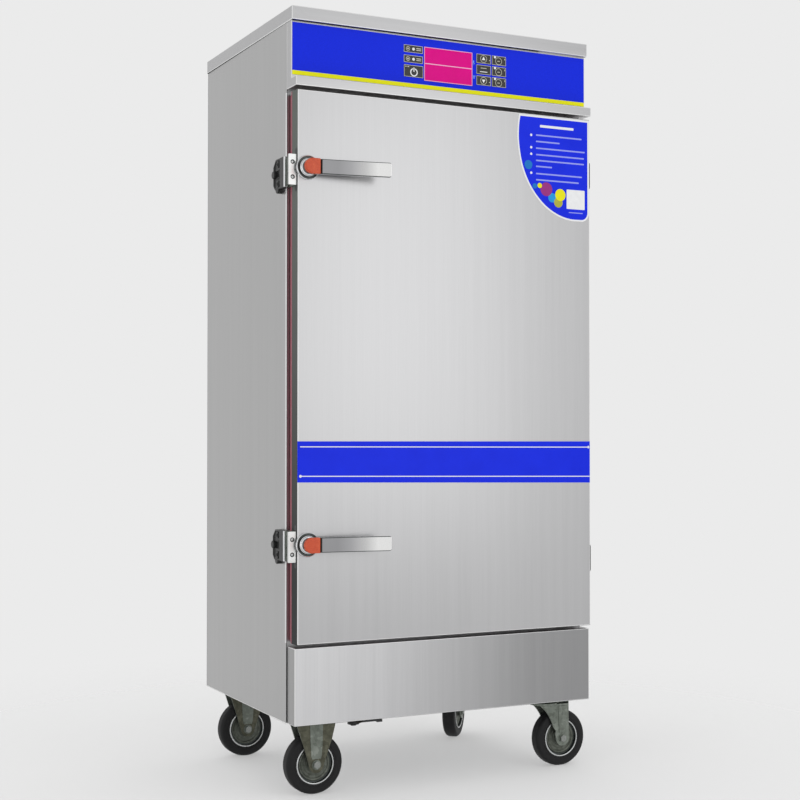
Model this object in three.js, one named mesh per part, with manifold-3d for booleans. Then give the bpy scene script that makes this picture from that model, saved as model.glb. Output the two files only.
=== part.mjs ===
// Bun steamer cabinet: a one-door steam cabinet on four casters, in millimetres.
// X runs to the right, Y to the back and Z up. Inside the cabinet group, y = 0 is the front face of
// the body and z = 0 is the floor.
import * as THREE from "three";
import { mergeVertices } from "three/addons/utils/BufferGeometryUtils.js";
import Module from "manifold-3d";

const wasm = await Module();
wasm.setup();

// Sizes shared by many pieces
const sheet = 1.5; // steel sheet of every panel
const seam = 0.3; // gap that turned or cut neighbours keep
const overrun = 5; // how far a cut runs past the face that it opens
const weldDistance = 0.0001;
const roundSides = 24;
const smallSides = 12;
const hexSides = 6;
const arcSteps = 8;
const tubeSteps = 28;

// Body, from the underside of the base to the top of the cap
const body = { width: 700, depth: 490, height: 1445, flange: 28, rearFlange: 18 };
const base = { thickness: 2, railWidth: 60, railHeight: 22 };
const cap = { height: 28, overhang: 32 };
const header = { height: 164.5, proud: 25, railHeight: 19.5, railProud: 50 };
const plinth = { height: 155, proud: 41, inset: 2 };
const louvre = { count: 6, width: 150, height: 6, pitch: 16, drop: 100 };

// Chamber, its insulation and what stands in it
const insulation = { side: 37, rear: 55, top: 33.5 };
const chamberRise = 20; // from the top of the plinth to the underside of the chamber
const rack = {
  levels: 12,
  postThickness: 5,
  postWidth: 25,
  postInset: 35,
  runnerThickness: 2,
  runnerReach: 24,
  runnerLip: 14,
  frontInset: 12,
  rearGap: 17,
  footroom: 40,
  headroom: 10,
};
const tank = { sideGap: 60, front: 60, rearGap: 40.5, height: 125, lip: 10 };
const cover = { overlap: 6, slots: 4, slotInset: 56, slotWidth: 16 };
const heater = { radius: 4, bend: 25, spread: 80, rise: 30, farGap: 45, flange: 4, flangeHeight: 50 };
const floatBox = { width: 80, depth: 160, rearGap: 27, height: 115, drop: 5 };
const float = {
  pin: 3,
  pinInset: 20,
  pinDepth: 38,
  eye: 7,
  eyeWidth: 10,
  arm: 95,
  rod: 2.5,
  ball: 22,
  drop: 20,
};
const inlet = { radius: 10.5, bore: 6.5, proud: 20, rise: 85 };
const vent = { radius: 12.5, bore: 10.5, proud: 30, drop: 60, flange: 24, flangeThickness: 3 };
const gland = { hex: 11, hexLength: 8, dome: 8, domeLength: 14, thread: 6, bore: 4.5, nut: 6 };
const glandPlace = { inset: 100, drop: 70 };
const drain = {
  inset: 180,
  back: 110,
  centre: 143,
  radius: 10.5,
  bore: 7.5,
  nut: 18,
  nutThickness: 4,
  outlet: 40,
  valve: 22,
  valveFront: 58,
  stem: 3.5,
  headRadius: 6,
  headThickness: 2.6,
};
const drainLever = { hub: 12.5, thickness: 5.3, blade: 3, length: 65, width: 12 };

// Door
const door = { proud: 50, gap: 8, sideGap: 4, boxDepth: 34, fieldInset: 50, fieldRise: 10 };
const gasket = { inset: 2, width: 20, clearance: 0.5 };
const upperLatchDrop = 156.5; // from the top of the door
const lowerLatchRise = 199; // from the bottom of the door
const upperHingeDrop = 122.5;
const lowerHingeRise = 146;
const latch = {
  spindleInset: 21,
  edgePlate: 4,
  edgeDepth: 41,
  edgeSetback: 7,
  faceWidth: 18,
  faceThickness: 3.5,
  faceHeight: 62,
  faceSetback: 5.5,
  faceDrop: 4.5,
  caseFront: 5,
  caseDepth: 24,
  caseHeight: 54,
  caseReach: 25,
  pocket: 19.3,
  wall: 3,
  neck: 17,
};
const screw = { radius: 4.5, recess: 1.2, pitch: 30 };
const rosette = { radius: 25, thickness: 6, slope: 4, bossRadius: 17, boss: 4 };
const spindle = { radius: 7, cam: 12, nose: 18, noseHalf: 5, clearance: 1 };
const lever = { height: 30, length: 165, root: 6, rootGap: 2, thickness: 9, rise: 27, bow: 6.75, corner: 5 };
const leverCap = { left: 15.5, right: 16.5, depth: 11, height: 31 };

// Keepers and hinges, which share one casting shape
const hardware = {
  proud: 14.5,
  half: 31,
  depth: 49,
  setback: 1,
  chamfer: 9,
  boss: 8,
  bossInset: 9,
  screwPitch: 40,
};
const keeper = { thickness: 10, mouth: 4.6, mouthDepth: 11, lipReach: 13, lug: 8, lugInset: 20 };
const hinge = { barrel: 6.5, pin: 3, plate: 5, forward: 6, leaf: 4, leafLength: 38, leafStart: 2 };
const knuckle = { half: 10.4, gap: 0.6 };

// Casters
const caster = { height: 155, inset: 73, front: 36, rear: 54, trail: 38 };
const casterPlate = { length: 104, width: 82, thickness: 3.5 };
const wheel = {
  radius: 62.5,
  width: 30,
  shoulder: 4.5,
  crown: 6,
  rim: 38,
  rimWidth: 26,
  web: 16,
  boss: 12,
};
const fork = { gap: 3, leg: 3, topHalf: 44, eye: 17, web: 4 };
const axle = { radius: 6, nut: 7.8, nutLength: 5, washer: 10, washerThickness: 1 };
const swivel = { race: 30, raceDepth: 8, crown: 32, crownDepth: 6, pin: 6, head: 10, headDepth: 3.5 };
const swivelLeg = { back: 30, front: 16, bendX: 8, bendDrop: 12 };
const rearSwivelTurn = -131.6; // degrees: the rear swivel caster stands turned towards the front left

// Control panel
const film = { thickness: 1, height: 106, bottomGap: 7, inset: 2 };
const panel = { keypadLift: 1.8, cutInset: 6 };
const display = { left: -50, width: 115, height: 71, proud: 0.6 };
const key = { proud: 0.8, flange: 1.2, flangeThickness: 1.5, stem: 4, travelRoom: 1 };
const keypad = { left: 75.5, pitch: 37.8, rowPitch: 23.5, width: 34.5, height: 19.5 };
const powerKey = { left: -97.5, width: 44.5, height: 24.5, drop: 18.8 };
const board = { thickness: 2, setback: 4.5, margin: 14, standoff: 4 };
const boardPart = { width: 70, depth: 26, height: 40, offset: 45 };

// Planes that several pieces share
const halfWidth = body.width / 2;
const innerHalf = halfWidth - sheet;
const underside = caster.height;
const top = underside + body.height;
const coverUnder = top - sheet;
const capBottom = top - cap.height;
const railBottom = top - header.height;
const railTop = railBottom + header.railHeight;
const plinthTop = underside + plinth.height;
const rearInside = body.depth - 2 * sheet;
const chamberHalf = innerHalf - insulation.side - sheet;
const chamberRear = rearInside - insulation.rear - sheet;
const chamberTop = railBottom - insulation.top - sheet;
const chamberUnder = plinthTop + chamberRise;
const chamberFloor = chamberUnder + sheet;
const tankBottom = chamberUnder - tank.height;
const tankHalf = chamberHalf - tank.sideGap;
const tankRear = chamberRear - tank.rearGap;
const doorBottom = plinthTop + door.gap;
const doorTop = railBottom - door.gap;
const doorHalf = halfWidth - door.sideGap;
const doorRear = -(door.proud - door.boxDepth);
const latchLevels = { upper: doorTop - upperLatchDrop, lower: doorBottom + lowerLatchRise };
const hingeLevels = { upper: doorTop - upperHingeDrop, lower: doorBottom + lowerHingeRise };
const filmFront = -header.proud;
const filmBack = filmFront + film.thickness;
const filmBottom = railTop + film.bottomGap;
const panelCentre = filmBottom + film.height / 2;
const keypadCentre = panelCentre + panel.keypadLift;
const boardFront = filmBack + sheet + board.setback;
const ventLevel = chamberTop - vent.drop;
const inletLevel = tankBottom + inlet.rise;
const inletSide = tankHalf + floatBox.width / 2;
const floatBoxRear = rearInside - floatBox.rearGap;
const floatBoxFront = floatBoxRear - floatBox.depth;
const drainSide = halfWidth - drain.inset;
const glandSide = halfWidth - glandPlace.inset;
const axleHeight = wheel.radius * Math.cos(Math.PI / roundSides);

// Finishes
const finish = (color, roughness, metalness) =>
  new THREE.MeshStandardMaterial({ color, roughness, metalness });
const brushedSteel = finish(0xc4c4c6, 0.35, 1);
const sideSteel = finish(0xababad, 0.45, 1);
const innerSteel = finish(0xb8b8ba, 0.4, 1);
const zincSteel = finish(0x8f938c, 0.5, 1);
const chrome = finish(0xd8d8da, 0.15, 1);
const blackCasting = finish(0x2b2c2c, 0.7, 0.3);
const blueFilm = finish(0x1c2fd8, 0.4, 0);
const magentaWindow = finish(0xdc0c84, 0.2, 0);
const keyBlack = finish(0x1d1d1d, 0.5, 0);
const orangePlastic = finish(0xc8502a, 0.45, 0);
const redSilicone = finish(0x9a2f3f, 0.7, 0);
const blackRubber = finish(0x1c1c1e, 0.85, 0);
const mineralWool = finish(0xd8c98a, 0.95, 0);
const boardGreen = finish(0x1f6b3a, 0.6, 0);
const brass = finish(0xb8964a, 0.3, 1);
const blackPlastic = finish(0x232323, 0.5, 0);

// A closed geometry as a solid that can be joined and cut
function solid(geometry) {
  const plain = geometry.index ? geometry.toNonIndexed() : geometry.clone();
  for (const name of Object.keys(plain.attributes)) {
    if (name !== "position") plain.deleteAttribute(name);
  }
  const merged = mergeVertices(plain, weldDistance);
  const corners = merged.index.array;
  const kept = [];
  for (let i = 0; i < corners.length; i += 3) {
    const [a, b, c] = corners.slice(i, i + 3);
    if (a !== b && b !== c && a !== c) kept.push(a, b, c);
  }
  return new wasm.Manifold(
    new wasm.Mesh({
      numProp: 3,
      vertProperties: merged.attributes.position.array,
      triVerts: new Uint32Array(kept),
    }),
  );
}

function geometryOf(shape) {
  const data = shape.getMesh();
  const geometry = new THREE.BufferGeometry();
  const places = new Float32Array(data.numVert * 3);
  for (let i = 0; i < data.numVert; i++) {
    const start = i * data.numProp;
    places.set(data.vertProperties.subarray(start, start + 3), i * 3);
  }
  geometry.setAttribute("position", new THREE.BufferAttribute(places, 3));
  geometry.setIndex(new THREE.BufferAttribute(data.triVerts, 1));
  const flat = geometry.toNonIndexed();
  flat.computeVertexNormals();
  return flat;
}

// A block between two values on each axis
function block([x0, x1], [y0, y1], [z0, z1]) {
  const box = new THREE.BoxGeometry(Math.abs(x1 - x0), Math.abs(y1 - y0), Math.abs(z1 - z0));
  return solid(box.translate((x0 + x1) / 2, (y0 + y1) / 2, (z0 + z1) / 2));
}

const about = (centre, half) => [centre - half, centre + half];

// Turns a shape drawn in two axes and extruded along the third into its place.
const turnFor = {
  x: new THREE.Matrix4().makeBasis(
    new THREE.Vector3(0, 1, 0),
    new THREE.Vector3(0, 0, 1),
    new THREE.Vector3(1, 0, 0),
  ),
  y: new THREE.Matrix4().makeBasis(
    new THREE.Vector3(1, 0, 0),
    new THREE.Vector3(0, 0, 1),
    new THREE.Vector3(0, -1, 0),
  ),
  z: new THREE.Matrix4(),
};

function place(geometry, axis, from, to) {
  geometry.applyMatrix4(turnFor[axis]);
  const start = axis === "y" ? Math.max(from, to) : Math.min(from, to);
  const shift = new THREE.Vector3();
  shift[axis] = start;
  return solid(geometry.translate(shift.x, shift.y, shift.z));
}

// An outline extruded along an axis. Its points are (y, z) for x, (x, z) for y and (x, y) for z.
function prism(outline, axis, from, to) {
  const points = outline instanceof THREE.Shape ? outline.getPoints(arcSteps) : outline;
  const shape = new THREE.Shape(points.map((p) => (p.isVector2 ? p : new THREE.Vector2(...p))));
  const settings = { depth: Math.abs(to - from), bevelEnabled: false };
  return place(new THREE.ExtrudeGeometry(shape, settings), axis, from, to);
}

// A rod along an axis, centred on the two other coordinates in the order that prism uses
function rod(axis, radius, from, to, [u, v] = [0, 0], sides = roundSides) {
  const length = Math.abs(to - from);
  const geometry = new THREE.CylinderGeometry(radius, radius, length, sides);
  geometry.rotateX(Math.PI / 2).translate(u, v, length / 2);
  return place(geometry, axis, from, to);
}

// A turned piece: its profile holds (radius, distance along the axis) from low to high on the outside.
function turned(profile, axis, sides = roundSides) {
  const points = profile.map(([radius, along]) => new THREE.Vector2(radius, along));
  const geometry = new THREE.LatheGeometry(points, sides).rotateY(Math.PI / sides);
  if (axis === "x") geometry.rotateZ(-Math.PI / 2);
  if (axis === "z") geometry.rotateX(Math.PI / 2);
  return solid(geometry);
}

function tube(curve, radius) {
  const section = new THREE.Shape();
  section.absarc(0, 0, radius, 0, 2 * Math.PI);
  const settings = { steps: tubeSteps, extrudePath: curve, bevelEnabled: false, curveSegments: arcSteps };
  return solid(new THREE.ExtrudeGeometry(section, settings));
}

const joined = (shapes) => shapes.reduce((whole, shape) => whole.add(shape));
const cutBy = (whole, cuts) => cuts.reduce((left, cut) => left.subtract(cut), whole);

// An open box: the block less the space inside its walls, which runs out through one named face
function openBox(x, y, z, wall, openFace) {
  const spans = { x: [...x], y: [...y], z: [...z] };
  const inner = {};
  for (const axis of ["x", "y", "z"]) inner[axis] = [spans[axis][0] + wall, spans[axis][1] - wall];
  const [side, axis] = openFace;
  if (side === "-") inner[axis][0] = spans[axis][0] - overrun;
  else inner[axis][1] = spans[axis][1] + overrun;
  return block(x, y, z).subtract(block(inner.x, inner.y, inner.z));
}

function piece(parent, name, shape, material) {
  const mesh = new THREE.Mesh(geometryOf(shape), material);
  mesh.name = name;
  parent.add(mesh);
  return mesh;
}

function groupAt(parent, x, y, z) {
  const group = new THREE.Group();
  group.position.set(x, y, z);
  parent.add(group);
  return group;
}

// Body panels

function sidePanel(side) {
  const outline = [
    [0, 0],
    [sheet, 0],
    [sheet, sheet],
    [body.flange, sheet],
    [body.flange, 2 * sheet],
    [sheet, 2 * sheet],
    [sheet, rearInside],
    [body.rearFlange, rearInside],
    [body.rearFlange, rearInside + sheet],
    [0, rearInside + sheet],
  ];
  const inPlace = outline.map(([inward, y]) => [side * (halfWidth - inward), y]);
  return prism(inPlace, "z", underside, coverUnder);
}

function rearPanel() {
  const y = [rearInside + sheet, body.depth];
  const through = [rearInside - overrun, body.depth + overrun];
  const cuts = [
    rod("y", vent.radius + seam, ...through, [0, ventLevel]),
    rod("y", inlet.radius + seam, ...through, [inletSide, inletLevel]),
    rod("y", gland.thread + seam, ...through, [glandSide, top - glandPlace.drop]),
  ];
  for (let i = 0; i < louvre.count; i++) {
    const level = top - louvre.drop - i * louvre.pitch + (louvre.count * louvre.pitch) / 2;
    cuts.push(block(about(0, louvre.width / 2), through, about(level, louvre.height / 2)));
  }
  return cutBy(block([-halfWidth, halfWidth], y, [underside, coverUnder]), cuts);
}

function basePan() {
  const y = [2 * sheet, rearInside];
  const pan = block([-innerHalf, innerHalf], y, [underside, underside + base.thickness]);
  const rails = [-1, 1].map((side) => {
    const centre = side * (halfWidth - caster.inset);
    const height = [underside, underside + base.thickness + base.railHeight];
    const inside = about(centre, base.railWidth / 2 - base.thickness);
    const hollow = [underside + base.thickness, height[1] - base.thickness];
    const outer = block(about(centre, base.railWidth / 2), y, height);
    return outer.subtract(block(inside, [y[0] - overrun, y[1] + overrun], hollow));
  });
  const hole = rod("z", drain.radius + seam, ...about(underside, overrun), [-drainSide, drain.back]);
  return joined([pan, ...rails]).subtract(hole);
}

function topCover() {
  const clear = seam + sheet;
  const x = [-halfWidth - clear, halfWidth + clear];
  const y = [-cap.overhang, body.depth + clear];
  const pan = openBox(x, y, [capBottom, top], sheet, "-z");
  const lipBack = filmBack - seam;
  const lip = block([x[0] + sheet, x[1] - sheet], [y[0], lipBack], [capBottom, capBottom + sheet]);
  return pan.add(lip);
}

function faceFrame() {
  const ring = block([-innerHalf, innerHalf], [0, sheet], [plinthTop, railBottom]);
  const mouth = [-overrun, sheet + overrun];
  return ring.subtract(block([-chamberHalf, chamberHalf], mouth, [chamberFloor, chamberTop]));
}

// Front plate under the film, with the square rail folded out of its bottom edge
function headerHousing() {
  const outline = (front, railFront, back, low, railUp, high) => [
    [front, high],
    [front, railUp],
    [railFront, railUp],
    [railFront, low],
    [back, low],
    [back, high],
  ];
  const outer = outline(filmBack, -header.railProud, 0, railBottom, railTop, coverUnder);
  const inner = outline(
    filmBack + sheet,
    -header.railProud + sheet,
    overrun,
    railBottom + sheet,
    railTop - sheet,
    coverUnder + overrun,
  );
  const hollow = prism(inner, "x", -innerHalf, innerHalf);
  return cutBy(prism(outer, "x", -halfWidth, halfWidth), [hollow, panelCut()]);
}

// The window in the header plate behind the keys and the display
function panelCut() {
  const x = [powerKey.left - panel.cutInset, keypad.left + 2 * keypad.pitch + panel.cutInset];
  const half = display.height / 2 + panel.cutInset / 2;
  return block(x, [filmBack - overrun, filmBack + sheet + overrun], about(panelCentre, half));
}

function plinthPanel() {
  const x = [-halfWidth + plinth.inset, halfWidth - plinth.inset];
  return openBox(x, [-plinth.proud, sheet], [underside, plinthTop], sheet, "+y");
}

// Chamber and water system

function chamberLiner() {
  const x = [-chamberHalf - sheet, chamberHalf + sheet];
  const shell = openBox(x, [sheet, chamberRear + sheet], [chamberUnder, chamberTop + sheet], sheet, "-y");
  const half = tankHalf - tank.lip;
  const well = [tank.front + tank.lip, tankRear - tank.lip];
  const opening = block([-half, half], well, about(chamberUnder, overrun));
  const outlet = rod("y", vent.radius + seam, chamberRear - overrun, chamberRear + overrun, [0, ventLevel]);
  return cutBy(shell, [opening, outlet]);
}

function insulationJacket() {
  const jacket = block([-innerHalf, innerHalf], [2 * sheet, rearInside], [chamberUnder, railBottom]);
  const x = [-chamberHalf - sheet, chamberHalf + sheet];
  const chamber = block(x, [-overrun, chamberRear + sheet], [chamberUnder - overrun, chamberTop + sheet]);
  const outlet = rod("y", vent.radius + seam, chamberRear, rearInside + overrun, [0, ventLevel]);
  return cutBy(jacket, [chamber, outlet]);
}

const rackTop = chamberTop - rack.headroom;
const levelPitch = (rackTop - chamberFloor - rack.footroom) / rack.levels;

// Two posts on the chamber wall carry a runner for each tray.
function trayRack(side) {
  const across = (near, far) => [side * (chamberHalf - near), side * (chamberHalf - far)];
  const y = [sheet + rack.frontInset, chamberRear - rack.rearGap];
  const posts = [y[0] + rack.postInset, y[1] - rack.postInset].map((centre) =>
    block(across(0, rack.postThickness), about(centre, rack.postWidth / 2), [chamberFloor, rackTop]),
  );
  const runners = [];
  const legFar = rack.postThickness + rack.runnerThickness;
  for (let i = 0; i < rack.levels; i++) {
    const seat = chamberFloor + rack.footroom + i * levelPitch;
    const low = seat - rack.runnerThickness;
    const leg = [low, low + rack.runnerLip];
    runners.push(block(across(rack.postThickness, legFar), y, leg));
    runners.push(block(across(rack.postThickness, rack.postThickness + rack.runnerReach), y, [low, seat]));
  }
  return joined([...posts, ...runners]);
}

function waterTank() {
  const y = [tank.front, tankRear];
  const box = openBox([-tankHalf, tankHalf], y, [tankBottom, chamberUnder], sheet, "+z");
  const drainHole = rod("z", drain.radius + seam, ...about(tankBottom, overrun), [-drainSide, drain.back]);
  const half = heater.spread + heater.bend + 2 * heater.radius;
  const level = tankBottom + heater.rise;
  const heaterHole = block([-half, half], about(tank.front, overrun), about(level, 2 * heater.radius));
  return cutBy(box, [drainHole, heaterHole]);
}

function tankCover() {
  const half = tankHalf - tank.lip + cover.overlap;
  const y = [tank.front + tank.lip - cover.overlap, tankRear - tank.lip + cover.overlap];
  const plate = block([-half, half], y, [chamberFloor, chamberFloor + sheet]);
  const step = (y[1] - y[0]) / (cover.slots + 1);
  const cuts = [];
  for (let i = 1; i <= cover.slots; i++) {
    const slot = about(y[0] + i * step, cover.slotWidth / 2);
    cuts.push(block(about(0, half - cover.slotInset), slot, about(chamberFloor, overrun)));
  }
  return cutBy(plate, cuts);
}

// A heater rod runs back from its flange, round a half turn and forward again.
class Hairpin extends THREE.Curve {
  constructor(centre, start, level) {
    super();
    const run = tankRear - tank.front - heater.farGap;
    Object.assign(this, { centre, start, level, run, bend: heater.bend });
  }
  getPoint(share) {
    const arc = Math.PI * this.bend;
    const along = share * (2 * this.run + arc);
    const turn = THREE.MathUtils.clamp((along - this.run) / arc, 0, 1) * Math.PI;
    const out = along < this.run ? along : Math.max(0, 2 * this.run + arc - along);
    const straight = Math.min(out, this.run);
    const x = this.centre - this.bend * Math.cos(turn);
    return new THREE.Vector3(x, this.start + straight + this.bend * Math.sin(turn), this.level);
  }
}

function heatingElement() {
  const level = tankBottom + heater.rise;
  const half = heater.spread + heater.bend + 4 * heater.radius;
  const y = [tank.front - heater.flange, tank.front];
  const flange = block([-half, half], y, about(level, heater.flangeHeight / 2));
  const pins = [-1, 1].map((side) =>
    tube(new Hairpin(side * heater.spread, tank.front - heater.flange / 2, level), heater.radius),
  );
  return joined([flange, ...pins]);
}

function floatBoxShell() {
  const x = [tankHalf, tankHalf + floatBox.width];
  const topEdge = chamberUnder - floatBox.drop;
  const box = openBox(x, [floatBoxFront, floatBoxRear], [topEdge - floatBox.height, topEdge], sheet, "+z");
  const pin = rod("x", float.pin, ...x, [floatBoxRear - float.pinInset, floatPinLevel], smallSides);
  const inletAt = [inletSide, inletLevel];
  const nipple = rod("y", inlet.radius, floatBoxRear - sheet, body.depth + inlet.proud, inletAt);
  const through = [floatBoxRear - sheet - overrun, body.depth + inlet.proud + overrun];
  const bore = rod("y", inlet.bore, ...through, inletAt);
  return joined([box, pin, nipple]).subtract(bore);
}

const floatPinLevel = chamberUnder - floatBox.drop - float.pinDepth;

// The arm's eye turns on the pin, and the ball hangs forward of it.
function floatArm() {
  const eye = rod("x", float.eye, ...about(0, float.eyeWidth / 2), [0, 0], smallSides);
  const slope = Math.asin(float.drop / float.arm);
  const arm = new THREE.CylinderGeometry(float.rod, float.rod, float.arm, smallSides);
  arm.rotateX(slope).translate(0, (-float.arm * Math.cos(slope)) / 2, -float.drop / 2);
  const ball = new THREE.SphereGeometry(float.ball, smallSides, arcSteps);
  ball.translate(0, -float.arm * Math.cos(slope), -float.drop);
  const bore = rod("x", float.pin + seam, ...about(0, float.eyeWidth), [0, 0], smallSides);
  return joined([eye, solid(arm), solid(ball)]).subtract(bore);
}

function drainValve() {
  const at = [-drainSide, drain.back];
  const run = [-drainSide, drain.centre];
  const down = rod("z", drain.radius, drain.centre, tankBottom + sheet, at);
  const forward = rod("y", drain.radius, drain.outlet, drain.back, run);
  const elbow = new THREE.SphereGeometry(drain.radius, roundSides, smallSides);
  elbow.translate(-drainSide, drain.back, drain.centre);
  const nut = rod("z", drain.nut, tankBottom - drain.nutThickness, tankBottom, at, hexSides);
  const half = drain.valve / 2;
  const valveBody = block(about(-drainSide, half), [drain.valveFront, drain.valveFront + drain.valve],
    about(drain.centre, half));
  const stemAt = [-drainSide, drain.valveFront + half];
  const low = drain.centre - half - drainLever.thickness - 2 * seam - drain.headThickness;
  const stem = rod("z", drain.stem, low, drain.centre - half / 2, stemAt, smallSides);
  const head = rod("z", drain.headRadius, low, low + drain.headThickness, stemAt, smallSides);
  const bores = [
    rod("z", drain.bore, drain.centre, tankBottom + overrun, at),
    rod("y", drain.bore, drain.outlet - overrun, drain.back, run),
  ];
  return cutBy(joined([down, forward, solid(elbow), nut, valveBody, stem, head]), bores);
}

// Local to the stem's axis and the underside of the valve body
function drainLeverArm() {
  const low = -seam - drainLever.thickness;
  const across = about(0, drainLever.width / 2);
  const hub = rod("z", drainLever.hub, low, -seam);
  const blade = block([0, drainLever.length], across, [-seam - drainLever.blade, -seam]);
  const grip = block([drainLever.length - drainLever.width, drainLever.length], across, [low, -seam]);
  const bore = rod("z", drain.stem + seam, low - overrun, overrun, [0, 0], smallSides);
  return joined([hub, blade, grip]).subtract(bore);
}

function steamVent() {
  const at = [0, ventLevel];
  const inner = chamberRear - vent.flangeThickness;
  const pipe = rod("y", vent.radius, inner, body.depth + vent.proud, at);
  const flange = rod("y", vent.flange, body.depth, body.depth + vent.flangeThickness, at);
  const bore = rod("y", vent.bore, inner - overrun, body.depth + vent.proud + overrun, at);
  return pipe.add(flange).subtract(bore);
}

function cableGland() {
  const at = [glandSide, top - glandPlace.drop];
  const hexEnd = body.depth + gland.hexLength;
  const nutFront = rearInside + sheet - gland.nut;
  const hex = rod("y", gland.hex, body.depth, hexEnd, at, hexSides);
  const dome = rod("y", gland.dome, hexEnd, hexEnd + gland.domeLength, at);
  const thread = rod("y", gland.thread, nutFront, body.depth, at);
  const nut = rod("y", gland.hex, nutFront, rearInside + sheet, at, hexSides);
  const bore = rod("y", gland.bore, nutFront - overrun, hexEnd + gland.domeLength + overrun, at);
  return joined([hex, dome, thread, nut]).subtract(bore);
}

// Control panel

const keyRows = [1, 0, -1].map((row) => row * keypad.rowPitch);
const keyPlaces = [
  { name: "key_up", column: 0, row: 0 },
  { name: "key_set", column: 0, row: 1 },
  { name: "key_down", column: 0, row: 2 },
  { name: "key_function_1", column: 1, row: 0 },
  { name: "key_function_2", column: 1, row: 1 },
  { name: "key_function_3", column: 1, row: 2 },
].map(({ name, column, row }) => ({
  name,
  x: keypad.left + column * keypad.pitch + keypad.width / 2,
  z: keypadCentre + keyRows[row],
  width: keypad.width,
  height: keypad.height,
}));
keyPlaces.push({
  name: "key_power",
  x: powerKey.left + powerKey.width / 2,
  z: panelCentre - powerKey.drop,
  width: powerKey.width,
  height: powerKey.height,
});

function controlFilm() {
  const y = [filmFront, filmBack];
  const through = [filmFront - overrun, filmBack + overrun];
  const cuts = keyPlaces.map((k) =>
    block(about(k.x, k.width / 2 + seam), through, about(k.z, k.height / 2 + seam)),
  );
  const across = [display.left - seam, display.left + display.width + seam];
  cuts.push(block(across, through, about(panelCentre, display.height / 2 + seam)));
  const x = [-halfWidth + film.inset, halfWidth - film.inset];
  return cutBy(block(x, y, [filmBottom, filmBottom + film.height]), cuts);
}

function displayWindow() {
  const x = [display.left, display.left + display.width];
  return block(x, [filmFront - display.proud, boardFront], about(panelCentre, display.height / 2));
}

// The board hangs on stand-offs behind the header plate and carries the relay and transformer blocks.
function controlBoard() {
  const x = [powerKey.left - board.margin, keypad.left + 2 * keypad.pitch + board.margin];
  const half = display.height / 2 + board.margin;
  const z = about(panelCentre, half);
  const plate = block(x, [boardFront, boardFront + board.thickness], z);
  const reach = (board.margin - panel.cutInset) / 2;
  const between = [boardFront - board.setback, boardFront];
  const shapes = [plate];
  for (const sx of [x[0] + reach, x[1] - reach]) {
    for (const sz of [z[0] + reach, z[1] - reach]) {
      shapes.push(rod("y", board.standoff / 2, ...between, [sx, sz], smallSides));
    }
  }
  const back = [boardFront + board.thickness, boardFront + board.thickness + boardPart.depth];
  const centre = (x[0] + x[1]) / 2;
  for (const side of [-1, 1]) {
    const span = about(centre + side * boardPart.offset, boardPart.width / 2);
    shapes.push(block(span, back, about(panelCentre, boardPart.height / 2)));
  }
  return joined(shapes);
}

// Local to the key's centre on the front of the film
function keyCap(width, height) {
  const back = film.thickness + seam;
  const flangeBack = back + key.flangeThickness;
  const stemEnd = boardFront - filmFront - key.travelRoom;
  const half = [width / 2, height / 2];
  const face = block(about(0, half[0]), [-key.proud, back], about(0, half[1]));
  const flangeY = [back, flangeBack];
  const flange = block(about(0, half[0] + key.flange), flangeY, about(0, half[1] + key.flange));
  const stem = rod("y", key.stem, flangeBack, stemEnd, [0, 0], smallSides);
  return joined([face, flange, stem]);
}

// Door

function doorSkin() {
  const skin = openBox([-doorHalf, doorHalf], [-door.proud, doorRear], [doorBottom, doorTop], sheet, "+y");
  const cuts = [];
  for (const level of Object.values(latchLevels)) {
    const front = -door.proud + latch.caseFront;
    const y = [front - seam, front + latch.caseDepth + seam];
    cuts.push(block(about(-doorHalf, overrun), y, about(level, latch.caseHeight / 2 + seam)));
    const at = [-doorHalf + latch.spindleInset, level];
    cuts.push(rod("y", latch.neck + seam, ...about(-door.proud, overrun - seam), at));
  }
  return cutBy(skin, cuts);
}

// A flat inner pan with a raised field that faces the chamber
function doorPan() {
  const half = doorHalf - sheet;
  const z = [doorBottom + sheet, doorTop - sheet];
  const plate = block([-half, half], [doorRear - sheet, doorRear], z);
  const fieldHalf = doorHalf - door.fieldInset;
  const fieldZ = [doorBottom + door.fieldInset, doorTop - door.fieldInset];
  const fieldX = [-fieldHalf, fieldHalf];
  const rear = doorRear + door.fieldRise;
  const field = block(fieldX, [doorRear - sheet, rear], fieldZ);
  const hollowX = [-fieldHalf + sheet, fieldHalf - sheet];
  const hollowZ = [fieldZ[0] + sheet, fieldZ[1] - sheet];
  return plate.add(field).subtract(block(hollowX, [doorRear - overrun, rear - sheet], hollowZ));
}

function doorGasket() {
  const outer = doorHalf - gasket.inset;
  const inner = outer - gasket.width;
  const z = [doorBottom + gasket.inset, doorTop - gasket.inset];
  const hollowZ = [z[0] + gasket.width, z[1] - gasket.width];
  const ring = block([-outer, outer], [doorRear, -gasket.clearance], z);
  return ring.subtract(block([-inner, inner], [doorRear - overrun, overrun], hollowZ));
}

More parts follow.
